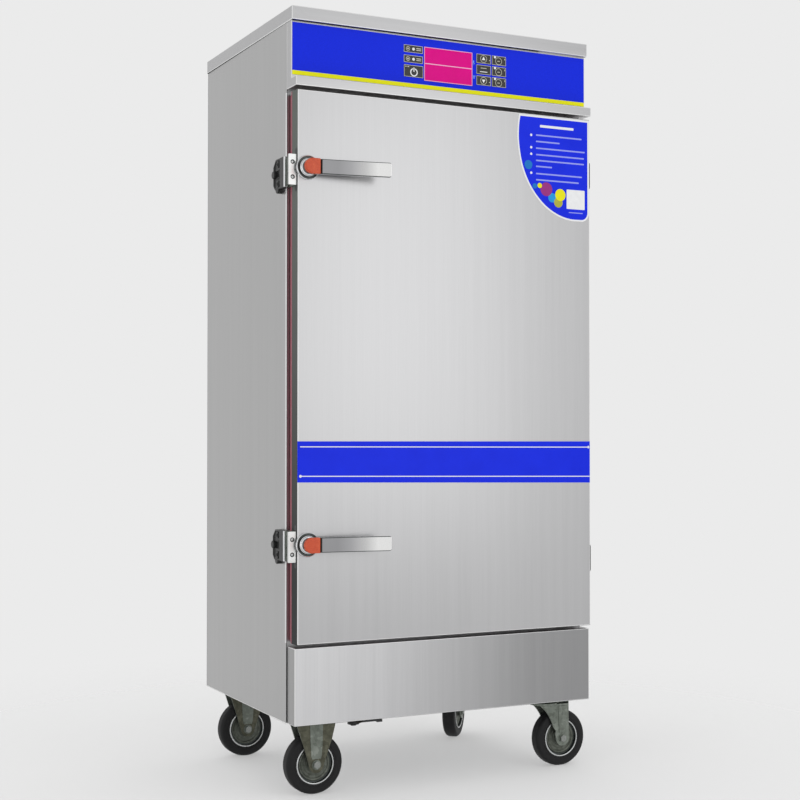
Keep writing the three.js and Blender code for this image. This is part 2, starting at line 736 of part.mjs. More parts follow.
// Local to the spindle's axis and the front face of the door
function latchCase() {
  const left = -latch.spindleInset;
  const back = latch.caseFront + latch.caseDepth;
  const caseHalf = latch.caseHeight / 2;
  const box = block([left, latch.caseReach], [latch.caseFront, back], about(0, caseHalf));
  const plateZ = about(-latch.faceDrop, latch.faceHeight / 2);
  const edgeY = [latch.edgeSetback, latch.edgeSetback + latch.edgeDepth];
  const edge = block([left - latch.edgePlate, left], edgeY, plateZ);
  const faceY = [latch.faceSetback, latch.faceSetback + latch.faceThickness];
  const face = block([left - latch.faceWidth, left], faceY, plateZ);
  const neck = rod("y", latch.neck, 0, latch.caseFront);
  const rose = turned(
    [
      [0, 0],
      [rosette.radius, 0],
      [rosette.radius, rosette.thickness / 2],
      [rosette.radius - rosette.slope, rosette.thickness],
      [rosette.bossRadius, rosette.thickness],
      [rosette.bossRadius, rosette.thickness + rosette.boss],
      [0, rosette.thickness + rosette.boss],
    ],
    "y",
  ).rotate([180, 0, 0]);
  const front = -rosette.thickness - rosette.boss;
  const bore = rod("y", spindle.radius + seam, front - overrun, back - latch.wall);
  const pocket = rod("y", latch.pocket, latch.caseFront + latch.wall, back - latch.wall);
  const sinks = [-1, 1].map((side) => {
    const at = [left - latch.faceWidth / 2, (side * screw.pitch) / 2 - latch.faceDrop];
    return rod("y", screw.radius, faceY[0] - overrun, faceY[0] + screw.recess, at, smallSides);
  });
  return cutBy(joined([box, edge, face, neck, rose]), [bore, pocket, ...sinks]);
}

// The lever's plan: a flat root on the spindle, then an arm that leans out towards its tip
function leverPlan() {
  const back = -rosette.thickness - rosette.boss - lever.rootGap;
  const front = back - lever.root;
  const armBack = front + seam;
  const armFront = armBack - lever.thickness;
  const armStart = leverCap.right + seam;
  const bend = lever.length / 2;
  const plan = new THREE.Shape();
  plan.moveTo(-leverCap.left + seam, back);
  plan.lineTo(armStart + lever.root, back);
  plan.quadraticCurveTo(bend, armBack - lever.bow, lever.length, armBack - lever.rise + lever.root);
  plan.lineTo(lever.length, armFront - lever.rise + lever.root);
  plan.quadraticCurveTo(bend, armFront - lever.bow, armStart, armFront);
  plan.lineTo(armStart, front);
  plan.lineTo(-leverCap.left + seam, front);
  plan.closePath();
  return plan;
}

// The lever's elevation: round at the spindle, with small corners at the tip
function leverElevation() {
  const half = lever.height / 2;
  const face = new THREE.Shape();
  const centre = half - leverCap.left + seam;
  face.moveTo(centre, half);
  face.absarc(centre, 0, half, Math.PI / 2, (3 * Math.PI) / 2);
  face.lineTo(lever.length - lever.corner, -half);
  face.absarc(lever.length - lever.corner, -half + lever.corner, lever.corner, -Math.PI / 2, 0);
  face.lineTo(lever.length, half - lever.corner);
  face.absarc(lever.length - lever.corner, half - lever.corner, lever.corner, 0, Math.PI / 2);
  face.closePath();
  return face;
}

// Local to the spindle's axis and the front face of the door
function handleLever() {
  const half = lever.height;
  const reach = 2 * (lever.rise + lever.thickness + lever.root);
  const arm = prism(leverPlan(), "z", -half, half).intersect(prism(leverElevation(), "y", -reach, reach));
  const front = -rosette.thickness - rosette.boss - lever.rootGap - lever.root / 2;
  const camFront = latch.caseFront + latch.wall + spindle.clearance;
  const camBack = latch.caseFront + latch.caseDepth - latch.wall - spindle.clearance;
  const shaft = rod("y", spindle.radius, front, camBack);
  const cam = rod("y", spindle.cam, camFront, camBack);
  const nose = block([-spindle.nose, 0], [camFront, camBack], about(0, spindle.noseHalf));
  return joined([arm, shaft, cam, nose]);
}

function handleCap() {
  const half = leverCap.height / 2;
  const back = -rosette.thickness - rosette.boss - lever.rootGap - lever.root;
  const face = new THREE.Shape();
  const centre = half - leverCap.left;
  face.moveTo(centre, half);
  face.absarc(centre, 0, half, Math.PI / 2, (3 * Math.PI) / 2);
  face.lineTo(leverCap.right, -half);
  face.lineTo(leverCap.right, half);
  face.closePath();
  return prism(face, "y", back - leverCap.depth, back);
}

// Keepers and hinges

// The casting's outline in (y, z), with its rear corners cut off
function castingOutline(front, rear) {
  const { half, chamfer } = hardware;
  return [
    [front, -half],
    [rear - chamfer, -half],
    [rear, -half + chamfer],
    [rear, half - chamfer],
    [rear - chamfer, half],
    [front, half],
  ];
}

// The boss near the casting's rear and the two screw heads on its face
function castingDetails(face, bossEnd, rear) {
  const boss = rod("x", hardware.boss, face, bossEnd, [rear - hardware.bossInset, 0]);
  const headEnd = face + Math.sign(bossEnd - face) * screw.recess;
  const heads = [-1, 1].map((side) => {
    const at = [rear - hardware.depth / 2, (side * hardware.screwPitch) / 2];
    return rod("x", screw.radius, face, headEnd, at, smallSides);
  });
  return [boss, ...heads];
}

// Local to the left side panel's front edge: its lip stands off the panel to leave a mouth for the latch, and
// reaches forward beside the door. A round lug hangs below its rear.
function latchKeeper() {
  const rear = hardware.setback + hardware.depth;
  const cast = prism(castingOutline(hardware.setback, rear), "x", -keeper.thickness, 0);
  const mouthY = [hardware.setback - overrun, hardware.setback + keeper.mouthDepth];
  const mouth = block([-keeper.mouth, overrun], mouthY, about(0, 2 * hardware.half));
  const lipY = [hardware.setback - keeper.lipReach, hardware.setback + seam];
  const lip = block([-keeper.thickness, -keeper.mouth], lipY, about(0, hardware.half));
  const lug = rod("x", keeper.lug, -keeper.thickness, 0, [rear - keeper.lugInset, -hardware.half]);
  const details = castingDetails(-keeper.thickness, -hardware.proud, rear);
  return joined([cast, lip, lug, ...details]).subtract(mouth);
}

// Both hinge halves are local to the pin's axis.
const hingeReach = hardware.proud - hinge.barrel; // from the side panel out to the pin's axis

function hingeBracket() {
  const front = hinge.forward + hinge.leafStart;
  const rear = front + hardware.depth;
  const plateTo = -hingeReach + hinge.plate;
  const cast = prism(castingOutline(front, rear), "x", -hingeReach, plateTo);
  const details = castingDetails(plateTo, hinge.barrel, rear);
  const low = knuckle.half + knuckle.gap;
  const ends = [-1, 1].flatMap((side) => {
    const z = [side * low, side * hardware.half].sort((a, b) => a - b);
    const web = block([-hingeReach, 0], [0, front + seam], z);
    return [rod("z", hinge.barrel, ...z), web];
  });
  const pin = rod("z", hinge.pin, -hardware.half, hardware.half, [0, 0], smallSides);
  return joined([cast, ...details, ...ends, pin]);
}

function hingeLeaf() {
  const x = [-hingeReach - door.sideGap, -hingeReach - door.sideGap + hinge.leaf];
  const y = [-hinge.leafStart - hinge.leafLength, -hinge.leafStart];
  const plate = block(x, y, about(0, hardware.half - knuckle.gap));
  const web = block([x[1] - seam, 0], [-hinge.barrel, -seam], about(0, knuckle.half));
  const barrel = rod("z", hinge.barrel, -knuckle.half, knuckle.half);
  const bore = rod("z", hinge.pin + seam, ...about(0, hardware.half), [0, 0], smallSides);
  return joined([plate, web, barrel]).subtract(bore);
}

// Casters, each local to the point on the floor below the centre of its plate

const plateUnder = caster.height - casterPlate.thickness;
const legInner = wheel.width / 2 + fork.gap;
const legOuter = legInner + fork.leg;

function casterTop() {
  const { length, width } = casterPlate;
  return block(about(0, length / 2), about(0, width / 2), [plateUnder, caster.height]);
}

function axleThrough(x) {
  const at = [x, axleHeight];
  const shaft = rod("y", axle.radius, -legOuter, legOuter, at);
  const ends = [-1, 1].flatMap((side) => [
    rod("y", axle.nut, side * legOuter, side * (legOuter + axle.nutLength), at, hexSides),
    rod("y", axle.washer, side * legOuter, side * (legOuter + axle.washerThickness), at),
  ]);
  return [shaft, ...ends];
}

// Two fork legs from one outline in (x, z)
function legs(outline) {
  return [-1, 1].map((side) => prism(outline, "y", side * legInner, side * legOuter));
}

function rigidCaster() {
  const outline = new THREE.Shape();
  outline.moveTo(-fork.topHalf, plateUnder);
  outline.lineTo(-fork.eye, axleHeight);
  outline.absarc(0, axleHeight, fork.eye, Math.PI, 2 * Math.PI);
  outline.lineTo(fork.topHalf, plateUnder);
  outline.closePath();
  const web = block(about(0, fork.topHalf), about(0, legOuter), [plateUnder - fork.web, plateUnder]);
  return joined([casterTop(), web, ...legs(outline), ...axleThrough(0)]);
}

const raceBottom = plateUnder - swivel.raceDepth;
const crownTop = raceBottom - seam;
const crownBottom = crownTop - swivel.crownDepth;

function swivelPlate() {
  const race = rod("z", swivel.race, raceBottom, plateUnder);
  const headTop = crownBottom - seam;
  const pin = rod("z", swivel.pin, headTop - swivel.headDepth, raceBottom);
  const head = rod("z", swivel.head, headTop - swivel.headDepth, headTop);
  return joined([casterTop(), race, pin, head]);
}

function swivelFork() {
  const outline = new THREE.Shape();
  const right = caster.trail + swivelLeg.front;
  outline.moveTo(-swivelLeg.back, crownTop);
  const bend = [swivelLeg.bendX, crownBottom - swivelLeg.bendDrop];
  outline.quadraticCurveTo(...bend, caster.trail - fork.eye, axleHeight);
  outline.absarc(caster.trail, axleHeight, fork.eye, Math.PI, 2 * Math.PI);
  outline.lineTo(right, axleHeight + fork.eye);
  outline.lineTo(right, crownTop);
  outline.closePath();
  const disc = rod("z", swivel.crown, crownBottom, crownTop);
  const shelf = block([0, right], about(0, legOuter), [crownBottom, crownTop]);
  const bore = rod("z", swivel.pin + seam, crownBottom - overrun, crownTop + overrun);
  const shapes = [disc, shelf, ...legs(outline), ...axleThrough(caster.trail)];
  return joined(shapes).subtract(bore);
}

function wheelHub() {
  const half = wheel.width / 2;
  const rimHalf = wheel.rimWidth / 2;
  const bore = axle.radius + seam;
  const side = [
    [bore, half],
    [wheel.boss, half],
    [wheel.boss + seam, wheel.web / 2],
    [wheel.rim - wheel.shoulder, wheel.web / 2],
    [wheel.rim - sheet, rimHalf],
    [wheel.rim, rimHalf],
  ];
  const lower = side.map(([radius, along]) => [radius, -along]);
  return turned([...lower, ...side.reverse(), lower[0]], "y");
}

function wheelTyre() {
  const half = wheel.width / 2;
  const inner = wheel.rim + seam;
  const rimHalf = wheel.rimWidth / 2;
  const side = [
    [inner, rimHalf],
    [wheel.radius - wheel.shoulder, half],
    [wheel.radius, half - wheel.crown],
  ];
  const lower = side.map(([radius, along]) => [radius, -along]);
  return turned([...lower, ...side.reverse(), lower[0]], "y");
}

function addWheel(parent, name, x) {
  const group = groupAt(parent, x, 0, axleHeight);
  piece(group, "hub_" + name, wheelHub(), zincSteel);
  piece(group, "tyre_" + name, wheelTyre(), blackRubber);
}

// Assembly

const part = new THREE.Group();
const cabinet = groupAt(part, 0, 0, 0);

piece(cabinet, "side_panel_left", sidePanel(-1), sideSteel);
piece(cabinet, "side_panel_right", sidePanel(1), sideSteel);
piece(cabinet, "rear_panel", rearPanel(), sideSteel);
piece(cabinet, "base_pan", basePan(), innerSteel);
piece(cabinet, "top_cover", topCover(), brushedSteel);
piece(cabinet, "face_frame", faceFrame(), brushedSteel);
piece(cabinet, "header_housing", headerHousing(), brushedSteel);
piece(cabinet, "plinth_panel", plinthPanel(), brushedSteel);
piece(cabinet, "chamber_liner", chamberLiner(), innerSteel);
piece(cabinet, "insulation", insulationJacket(), mineralWool);
piece(cabinet, "tray_rack_left", trayRack(-1), innerSteel);
piece(cabinet, "tray_rack_right", trayRack(1), innerSteel);
piece(cabinet, "water_tank", waterTank(), innerSteel);
piece(cabinet, "tank_cover", tankCover(), innerSteel);
piece(cabinet, "heating_element", heatingElement(), zincSteel);
piece(cabinet, "float_box", floatBoxShell(), innerSteel);
piece(cabinet, "drain_valve", drainValve(), brass);
piece(cabinet, "steam_vent", steamVent(), innerSteel);
piece(cabinet, "cable_gland", cableGland(), blackPlastic);

const floatGroup = groupAt(cabinet, inletSide, floatBoxRear - float.pinInset, floatPinLevel);
piece(floatGroup, "float", floatArm(), brass);
const stemPlace = drain.valveFront + drain.valve / 2;
const drainGroup = groupAt(cabinet, -drainSide, stemPlace, drain.centre - drain.valve / 2);
piece(drainGroup, "drain_lever", drainLeverArm(), blackPlastic);

piece(cabinet, "control_film", controlFilm(), blueFilm);
piece(cabinet, "display_window", displayWindow(), magentaWindow);
piece(cabinet, "control_board", controlBoard(), boardGreen);
for (const k of keyPlaces) {
  piece(groupAt(cabinet, k.x, filmFront, k.z), k.name, keyCap(k.width, k.height), keyBlack);
}

piece(cabinet, "door_skin", doorSkin(), brushedSteel);
piece(cabinet, "door_pan", doorPan(), innerSteel);
piece(cabinet, "door_gasket", doorGasket(), redSilicone);
for (const [level, z] of Object.entries(latchLevels)) {
  const handle = groupAt(cabinet, -doorHalf + latch.spindleInset, -door.proud, z);
  piece(handle, "latch_case_" + level, latchCase(), chrome);
  piece(handle, "handle_lever_" + level, handleLever(), chrome);
  piece(handle, "handle_cap_" + level, handleCap(), orangePlastic);
  const keeperAt = groupAt(cabinet, -halfWidth, 0, z - latch.faceDrop);
  piece(keeperAt, "latch_keeper_" + level, latchKeeper(), blackCasting);
}
for (const [level, z] of Object.entries(hingeLevels)) {
  const pin = groupAt(cabinet, halfWidth + hingeReach, -hinge.forward, z);
  piece(pin, "hinge_bracket_" + level, hingeBracket(), blackCasting);
  piece(pin, "hinge_leaf_" + level, hingeLeaf(), blackCasting);
}

const casterRows = { front: caster.front, rear: body.depth - caster.rear };
for (const [row, y] of Object.entries(casterRows)) {
  const rigid = groupAt(cabinet, -halfWidth + caster.inset, y, 0);
  piece(rigid, "rigid_fork_" + row, rigidCaster(), zincSteel);
  addWheel(rigid, "left_" + row, 0);
  const turning = groupAt(cabinet, halfWidth - caster.inset, y, 0);
  piece(turning, "swivel_plate_" + row, swivelPlate(), zincSteel);
  const swivelGroup = groupAt(turning, 0, 0, 0);
  if (row === "rear") swivelGroup.rotation.z = THREE.MathUtils.degToRad(rearSwivelTurn);
  piece(swivelGroup, "swivel_fork_" + row, swivelFork(), zincSteel);
  addWheel(swivelGroup, "right_" + row, caster.trail);
}

// The origin is on the floor, below the middle of everything.
const extent = new THREE.Box3().setFromObject(part);
const middle = extent.getCenter(new THREE.Vector3());
cabinet.position.set(-middle.x, -middle.y, -extent.min.z);

export default part;
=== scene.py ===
from math import cos, pi, radians, sin

import bmesh
import bpy
from mathutils import Matrix, Vector


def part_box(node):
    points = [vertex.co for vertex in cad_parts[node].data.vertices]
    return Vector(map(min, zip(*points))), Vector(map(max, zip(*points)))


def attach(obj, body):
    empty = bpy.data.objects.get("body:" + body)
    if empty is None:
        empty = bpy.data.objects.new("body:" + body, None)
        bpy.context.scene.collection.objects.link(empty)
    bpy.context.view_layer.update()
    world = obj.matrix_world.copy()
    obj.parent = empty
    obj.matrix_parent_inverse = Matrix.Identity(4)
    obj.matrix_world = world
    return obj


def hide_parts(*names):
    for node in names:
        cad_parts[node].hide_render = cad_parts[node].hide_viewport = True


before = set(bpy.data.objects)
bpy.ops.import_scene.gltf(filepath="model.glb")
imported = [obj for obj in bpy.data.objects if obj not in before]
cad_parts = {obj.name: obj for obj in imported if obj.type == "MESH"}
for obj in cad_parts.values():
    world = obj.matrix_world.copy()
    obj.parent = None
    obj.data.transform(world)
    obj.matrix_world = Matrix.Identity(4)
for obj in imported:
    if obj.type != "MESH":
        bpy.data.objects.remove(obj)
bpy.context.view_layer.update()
axes = "xyz"
weld = 0.00001


# Small helpers for selecting and shaping

def clearSelection():
    active = bpy.context.view_layer.objects.active
    if active and active.mode != "OBJECT":
        bpy.ops.object.mode_set(mode="OBJECT")
    bpy.ops.object.select_all(action="DESELECT")


def makeActive(piece):
    clearSelection()
    piece.select_set(True)
    bpy.context.view_layer.objects.active = piece


def startEdit(piece, kind="FACE"):
    makeActive(piece)
    bpy.ops.object.mode_set(mode="EDIT")
    bpy.ops.mesh.select_mode(type=kind)
    bpy.ops.mesh.select_all(action="DESELECT")


def endEdit():
    bpy.ops.object.mode_set(mode="OBJECT")


def pick(piece, kind, wanted):
    # Selects the faces, edges or verts of the piece in edit mode that pass the test.
    shape = bmesh.from_edit_mesh(piece.data)
    shape.normal_update()
    for part in getattr(shape, kind):
        part.select_set(bool(wanted(part)))
    shape.select_flush_mode()
    bmesh.update_edit_mesh(piece.data)


def faceLooks(axis, side):
    index = axes.index(axis)
    return lambda face: face.normal[index] * side > 0.99


def looksAlongY(face):
    return abs(face.normal.y) > 0.99


def applyPlace(piece):
    makeActive(piece)
    bpy.ops.object.transform_apply(location=True, rotation=True, scale=True)


def addBlock(name, low, high):
    clearSelection()
    middle = [(a + b) / 2 for a, b in zip(low, high)]
    bpy.ops.mesh.primitive_cube_add(size=1, location=middle)
    block = bpy.context.object
    block.name = name
    block.scale = [abs(b - a) for a, b in zip(low, high)]
    applyPlace(block)
    return block


def addRod(name, axis, radius, low, high, centre, sides=32):
    # The centre is given on all three axes; its value on the rod's own axis isn't used.
    clearSelection()
    index = axes.index(axis)
    place = list(centre)
    place[index] = (low + high) / 2
    turn = {"x": (0, pi / 2, 0), "y": (pi / 2, 0, 0), "z": (0, 0, 0)}[axis]
    bpy.ops.mesh.primitive_cylinder_add(
        vertices=sides, radius=radius, depth=abs(high - low), location=place, rotation=turn)
    rod = bpy.context.object
    rod.name = name
    applyPlace(rod)
    return rod


def extrudeBy(move):
    bpy.ops.mesh.extrude_region_move(TRANSFORM_OT_translate={"value": move})


def stepEnd(piece, axis, side, start, steps, centre):
    # Extrudes the end that looks along the axis, one (radius, place) after another.
    index = axes.index(axis)
    radius, place = start
    startEdit(piece)
    pick(piece, "faces", faceLooks(axis, side))
    for nextRadius, nextPlace in steps:
        move = [0, 0, 0]
        move[index] = nextPlace - place
        extrudeBy(move)
        pivot = list(centre)
        pivot[index] = nextPlace
        ratio = [nextRadius / radius] * 3
        ratio[index] = 1
        bpy.ops.transform.resize(value=ratio, center_override=pivot)
        radius, place = nextRadius, nextPlace
    endEdit()


def boreThrough(piece, isEnd, rim=0.0):
    # Takes out the end faces, or what lies within their rim, and bridges the two holes.
    startEdit(piece)
    pick(piece, "faces", isEnd)
    if rim:
        bpy.ops.mesh.inset(thickness=rim)
    bpy.ops.mesh.delete(type="FACE")
    pick(piece, "edges", lambda edge: edge.is_boundary)
    bpy.ops.mesh.bridge_edge_loops()
    endEdit()
    return piece


def addTurnedRing(name, axis, centre, start, low, sides, high=None):
    # A rod of the start radius and half width, stepped out at each end and bored through where the steps stop.
    # Each step is a radius and a distance from the middle; the high end takes the low end's steps by default.
    radius, half = start
    middle = centre[axes.index(axis)]
    piece = addRod(name, axis, radius, middle - half, middle + half, centre, sides)
    for side, steps in ((-1, low), (1, high or low)):
        stepEnd(piece, axis, side, (radius, middle + side * half), [(r, middle + side * d) for r, d in steps], centre)
    return boreThrough(piece, lambda face: len(face.verts) > 8)


def extendEnd(piece, axis, side, stations):
    # Extrudes the end face that looks along the axis to each station's middle and size.
    startEdit(piece)
    pick(piece, "faces", faceLooks(axis, side))
    corners = [v.co for v in bmesh.from_edit_mesh(piece.data).verts if v.select]
    low = Vector([min(c[i] for c in corners) for i in range(3)])
    high = Vector([max(c[i] for c in corners) for i in range(3)])
    middle, size = (low + high) / 2, high - low
    for place, width in stations:
        place, width = Vector(place), Vector(width)
        extrudeBy(place - middle)
        ratio = [width[i] / size[i] if size[i] > 1e-9 else 1 for i in range(3)]
        bpy.ops.transform.resize(value=ratio, center_override=place)
        middle = place
        size = Vector([width[i] if size[i] > 1e-9 else 0 for i in range(3)])
    endEdit()


def cutPlane(piece, place, normal):
    # Cuts off what lies on the normal's side of the plane and closes the cut.
    startEdit(piece)
    bpy.ops.mesh.select_all(action="SELECT")
    bpy.ops.mesh.bisect(plane_co=place, plane_no=Vector(normal).normalized(), use_fill=True, clear_outer=True,
                        threshold=weld)
    endEdit()


def cutWith(piece, cutter):
    makeActive(piece)
    cut = piece.modifiers.new("cut", "BOOLEAN")
    cut.operation = "DIFFERENCE"
    cut.solver = "EXACT"
    cut.object = cutter
    bpy.ops.object.modifier_apply(modifier=cut.name)
    bpy.data.objects.remove(cutter)


def bevelPicked(piece, radius, segments, wanted):
    startEdit(piece, "EDGE")
    pick(piece, "edges", wanted)
    bpy.ops.mesh.bevel(offset=radius, segments=segments, affect="EDGES")
    endEdit()
    return piece


def edgeAlong(axis, test=None):
    # An edge that runs along the axis, and whose middle passes the test
    index = axes.index(axis)

    def wanted(edge):
        run = edge.verts[1].co - edge.verts[0].co
        middle = (edge.verts[0].co + edge.verts[1].co) / 2
        return abs(run.normalized()[index]) > 0.99 and (test is None or test(middle))
    return wanted


def roundEdges(piece, width, segments=2, angle=40):
    makeActive(piece)
    bevel = piece.modifiers.new("edges", "BEVEL")
    bevel.width, bevel.segments = width, segments
    bevel.limit_method, bevel.angle_limit = "ANGLE", radians(angle)
    bpy.ops.object.modifier_apply(modifier=bevel.name)
    return piece


def addPlate(name, low, high, axis, corner, segments, soften, test=None):
    # A block with round corners along one axis, where the test lets them, and soft edges
    plate = bevelPicked(addBlock(name, low, high), corner, segments, edgeAlong(axis, test))
    return roundEdges(plate, soften)


def joinPieces(pieces, name):
    makeActive(pieces[0])
    for piece in pieces:
        piece.select_set(True)
    if len(pieces) > 1:
        bpy.ops.object.join()
    pieces[0].name = name
    return pieces[0]


def copyNode(node, name):
    # A merged copy of a CAD node, with its flat faces made whole
    piece = bpy.data.objects.new(name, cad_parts[node].data.copy())
    bpy.context.scene.collection.objects.link(piece)
    piece.data.materials.clear()
    startEdit(piece)
    bpy.ops.mesh.customdata_custom_splitnormals_clear()
    bpy.ops.mesh.select_all(action="SELECT")
    bpy.ops.mesh.remove_doubles(threshold=weld)
    bpy.ops.mesh.dissolve_limited(angle_limit=radians(0.5))
    endEdit()
    return piece


def faceReach(face, edge):
    along = (edge.verts[1].co - edge.verts[0].co).normalized()
    start = edge.verts[0].co
    return max((v.co - start - along * (v.co - start).dot(along)).length for v in face.verts)


def foldEdges(piece, radius, wide, segments=3):
    # Rounds the outer folds of a bent sheet: sharp edges between two faces that are both wide.
    def isFold(edge):
        if len(edge.link_faces) != 2 or not edge.is_convex or edge.calc_face_angle() < 1:
            return False
        return all(faceReach(face, edge) > wide for face in edge.link_faces)
    bevelPicked(piece, radius, segments, isFold)


def finishPiece(piece, body, material, nodes=(), angle=35):
    applyPlace(piece)
    bpy.ops.object.shade_smooth_by_angle(angle=radians(angle))
    normals = piece.modifiers.new("normals", "WEIGHTED_NORMAL")
    normals.keep_sharp = True
    bpy.ops.object.modifier_apply(modifier=normals.name)
    if material:  # without one, a joined piece keeps its parts' own finishes
        piece.data.materials.clear()
        piece.data.materials.append(material)
    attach(piece, body)
    if nodes:
        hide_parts(*nodes)
    return piece


def paintFaces(piece, material, wanted):
    # A second finish on the faces that pass the test
    piece.data.materials.append(material)
    index = len(piece.data.materials) - 1
    for face in piece.data.polygons:
        if wanted(face):
            face.material_index = index
    return piece


def onFold(face):
    return max(abs(part) for part in face.normal) < 0.99


def copyPiece(master, name, matrix):
    piece = bpy.data.objects.new(name, master.data.copy())
    bpy.context.scene.collection.objects.link(piece)
    piece.data.transform(matrix)
    return piece


def placeCopy(master, name, matrix, body, material, nodes=()):
    return finishPiece(copyPiece(master, name, matrix), body, material, nodes)


def removeAll(pieces):
    for piece in pieces:
        bpy.data.objects.remove(piece)


# Materials

def toLinear(hexText):
    channels = [int(hexText[i:i + 2], 16) / 255 for i in (1, 3, 5)]
    return [c / 12.92 if c <= 0.04045 else ((c + 0.055) / 1.055) ** 2.4 for c in channels] + [1]


def addNode(tree, kind, settings=None, links=None):
    # Settings name an attribute or an input, and "stops" are a colour ramp's. Links give an input its source: a
    # socket, or a node whose first output is meant.
    node = tree.nodes.new("ShaderNode" + kind)
    for key, value in (settings or {}).items():
        if key == "stops":
            ramp = node.color_ramp.elements
            while len(ramp) < len(value):
                ramp.new(0.5)
            for stop, (place, shade) in zip(ramp, value):
                stop.position = place
                stop.color = toLinear(shade)
        elif isinstance(key, int) or key in node.inputs:
            node.inputs[key].default_value = value
        else:
            setattr(node, key, value)
    for key, source in (links or {}).items():
        tree.links.new(getattr(source, "outputs", [source])[0], node.inputs[key])
    return node


def startMaterial(name, settings):
    material = bpy.data.materials.new(name)
    material.use_nodes = True
    tree = material.node_tree
    shader = tree.nodes["Principled BSDF"]
    for key, value in settings.items():
        shader.inputs[key].default_value = toLinear(value) if isinstance(value, str) else value
    place = addNode(tree, "TexCoord").outputs["Object"]
    return material, tree, shader, place


metal = {"Metallic": 1.0}


def finishShader(tree, shader, shades, tint, rough, wear, bump, relief, depth=0.0003):
    # The last nodes of a finish: colour from the tint, roughness from the wear and bump from the relief
    shade = addNode(tree, "ValToRGB", {"stops": shades}, {0: tint})
    dull = addNode(tree, "MapRange", {3: rough[0], 4: rough[1]}, {0: wear})
    skin = addNode(tree, "Bump", {"Strength": bump, "Distance": depth}, {"Height": relief})
    for key, node in (("Base Color", shade), ("Roughness", dull), ("Normal", skin)):
        tree.links.new(node.outputs[0], shader.inputs[key])
    return shade


def addGrain(tree, shader, place, look):
    # Fine lines drawn out along one axis, with broad faint bands over them
    noises = []
    for scale, detail, coarse in ((look["line"], 3.0, 0.6), (look["band"], 2.0, 0.5)):
        spot = addNode(tree, "Mapping", {"Scale": scale}, {"Vector": place})
        noises.append(addNode(tree, "TexNoise", {"Scale": 1.0, "Detail": detail, "Roughness": coarse},
                              {"Vector": spot}))
    mixed = addNode(tree, "Mix", {"data_type": "FLOAT", 0: look["bandShare"]},
                    {2: noises[0], 3: noises[1]})
    return finishShader(tree, shader, look["shades"], mixed, look["rough"], mixed, look["bump"], noises[0], 0.0002)


def makeBrushedSteel(name, grainAxis, dark, pale, paintedShade=None):
    # Stainless steel, belt brushed: fine straight lines that blur what the sheet mirrors. The real lines are
    # 0.1 mm apart, too fine to show, so they are drawn about 1.2 mm wide and 150 mm long.
    material, tree, shader, place = startMaterial(name, metal)
    line, band = [800.0] * 3, [70.0] * 3
    line[axes.index(grainAxis)], band[axes.index(grainAxis)] = 6.0, 0.8
    shade = addGrain(tree, shader, place, {"line": line, "band": band, "bandShare": 0.45, "bump": 0.12,
                                           "shades": [(0.25, dark), (0.75, pale)], "rough": (0.28, 0.38)})
    if paintedShade:  # painted shade: the tone runs from light on one side to dark on the other, and the ramp holds half of it
        across = addNode(tree, "SeparateXYZ", {}, {0: place}).outputs[0]
        share = addNode(tree, "MapRange", {1: paintedShade["from"], 2: paintedShade["to"]}, {0: across})
        run = addNode(tree, "ValToRGB", {"stops": paintedShade["stops"]}, {0: share})
        sources = shade, run
        for blend in ("MULTIPLY", "ADD"):
            mixed = addNode(tree, "Mix", {"data_type": "RGBA", "blend_type": blend, 0: 1.0},
                            dict(zip((6, 7), sources)))
            sources = mixed.outputs[2], mixed.outputs[2]
        tree.links.new(sources[0], shader.inputs["Base Color"])
    return material


def makeMilledSteel():
    # Stainless steel as it left the rolls (2B): pale, even and half dull, with faint rolling lines
    material, tree, shader, place = startMaterial("millRolledStainless", metal)
    addGrain(tree, shader, place, {"line": [90.0, 90.0, 12.0], "band": [9.0, 9.0, 3.0], "bandShare": 0.6,
                                   "bump": 0.05, "rough": (0.36, 0.5),
                                   "shades": [(0.2, "#9C9D9E"), (0.8, "#B4B5B6")]})
    return material


def makeGalvanised(name, shades):
    # Zinc-plated pressed steel: crystals about 6 mm across and rubbed dull patches
    material, tree, shader, place = startMaterial(name, {"Metallic": 0.85})
    crystals = addNode(tree, "TexVoronoi", {"Scale": 160.0}, {"Vector": place})
    patches = addNode(tree, "TexNoise", {"Scale": 40.0, "Detail": 4.0}, {"Vector": place})
    mixed = addNode(tree, "Mix", {"data_type": "FLOAT", 0: 0.7}, {2: crystals.outputs["Color"], 3: patches})
    finishShader(tree, shader, list(zip((0.25, 0.55, 0.8), shades)), mixed, (0.32, 0.6), patches, 0.15, patches)
    return material


def makeSpeckled(name, settings, grain, patch, shades, rough, bump, patchShare=0.5):
    # One finish in close shades, from grains and patches of the sizes given, in metres, with its own bump.
    # Two shades stand at 0.3 and 0.7 of the ramp, and other stops bring their own places.
    material, tree, shader, place = startMaterial(name, settings)
    grains = addNode(tree, "TexNoise", {"Scale": 1 / grain, "Detail": 4.0, "Roughness": 0.6}, {"Vector": place})
    broad = addNode(tree, "TexNoise", {"Scale": 1 / patch, "Detail": 3.0}, {"Vector": place})
    mixed = addNode(tree, "Mix", {"data_type": "FLOAT", 0: patchShare}, {2: grains, 3: broad})
    stops = list(zip((0.3, 0.7), shades)) if isinstance(shades[0], str) else shades
    finishShader(tree, shader, stops, mixed, rough, broad, bump, grains)
    return material


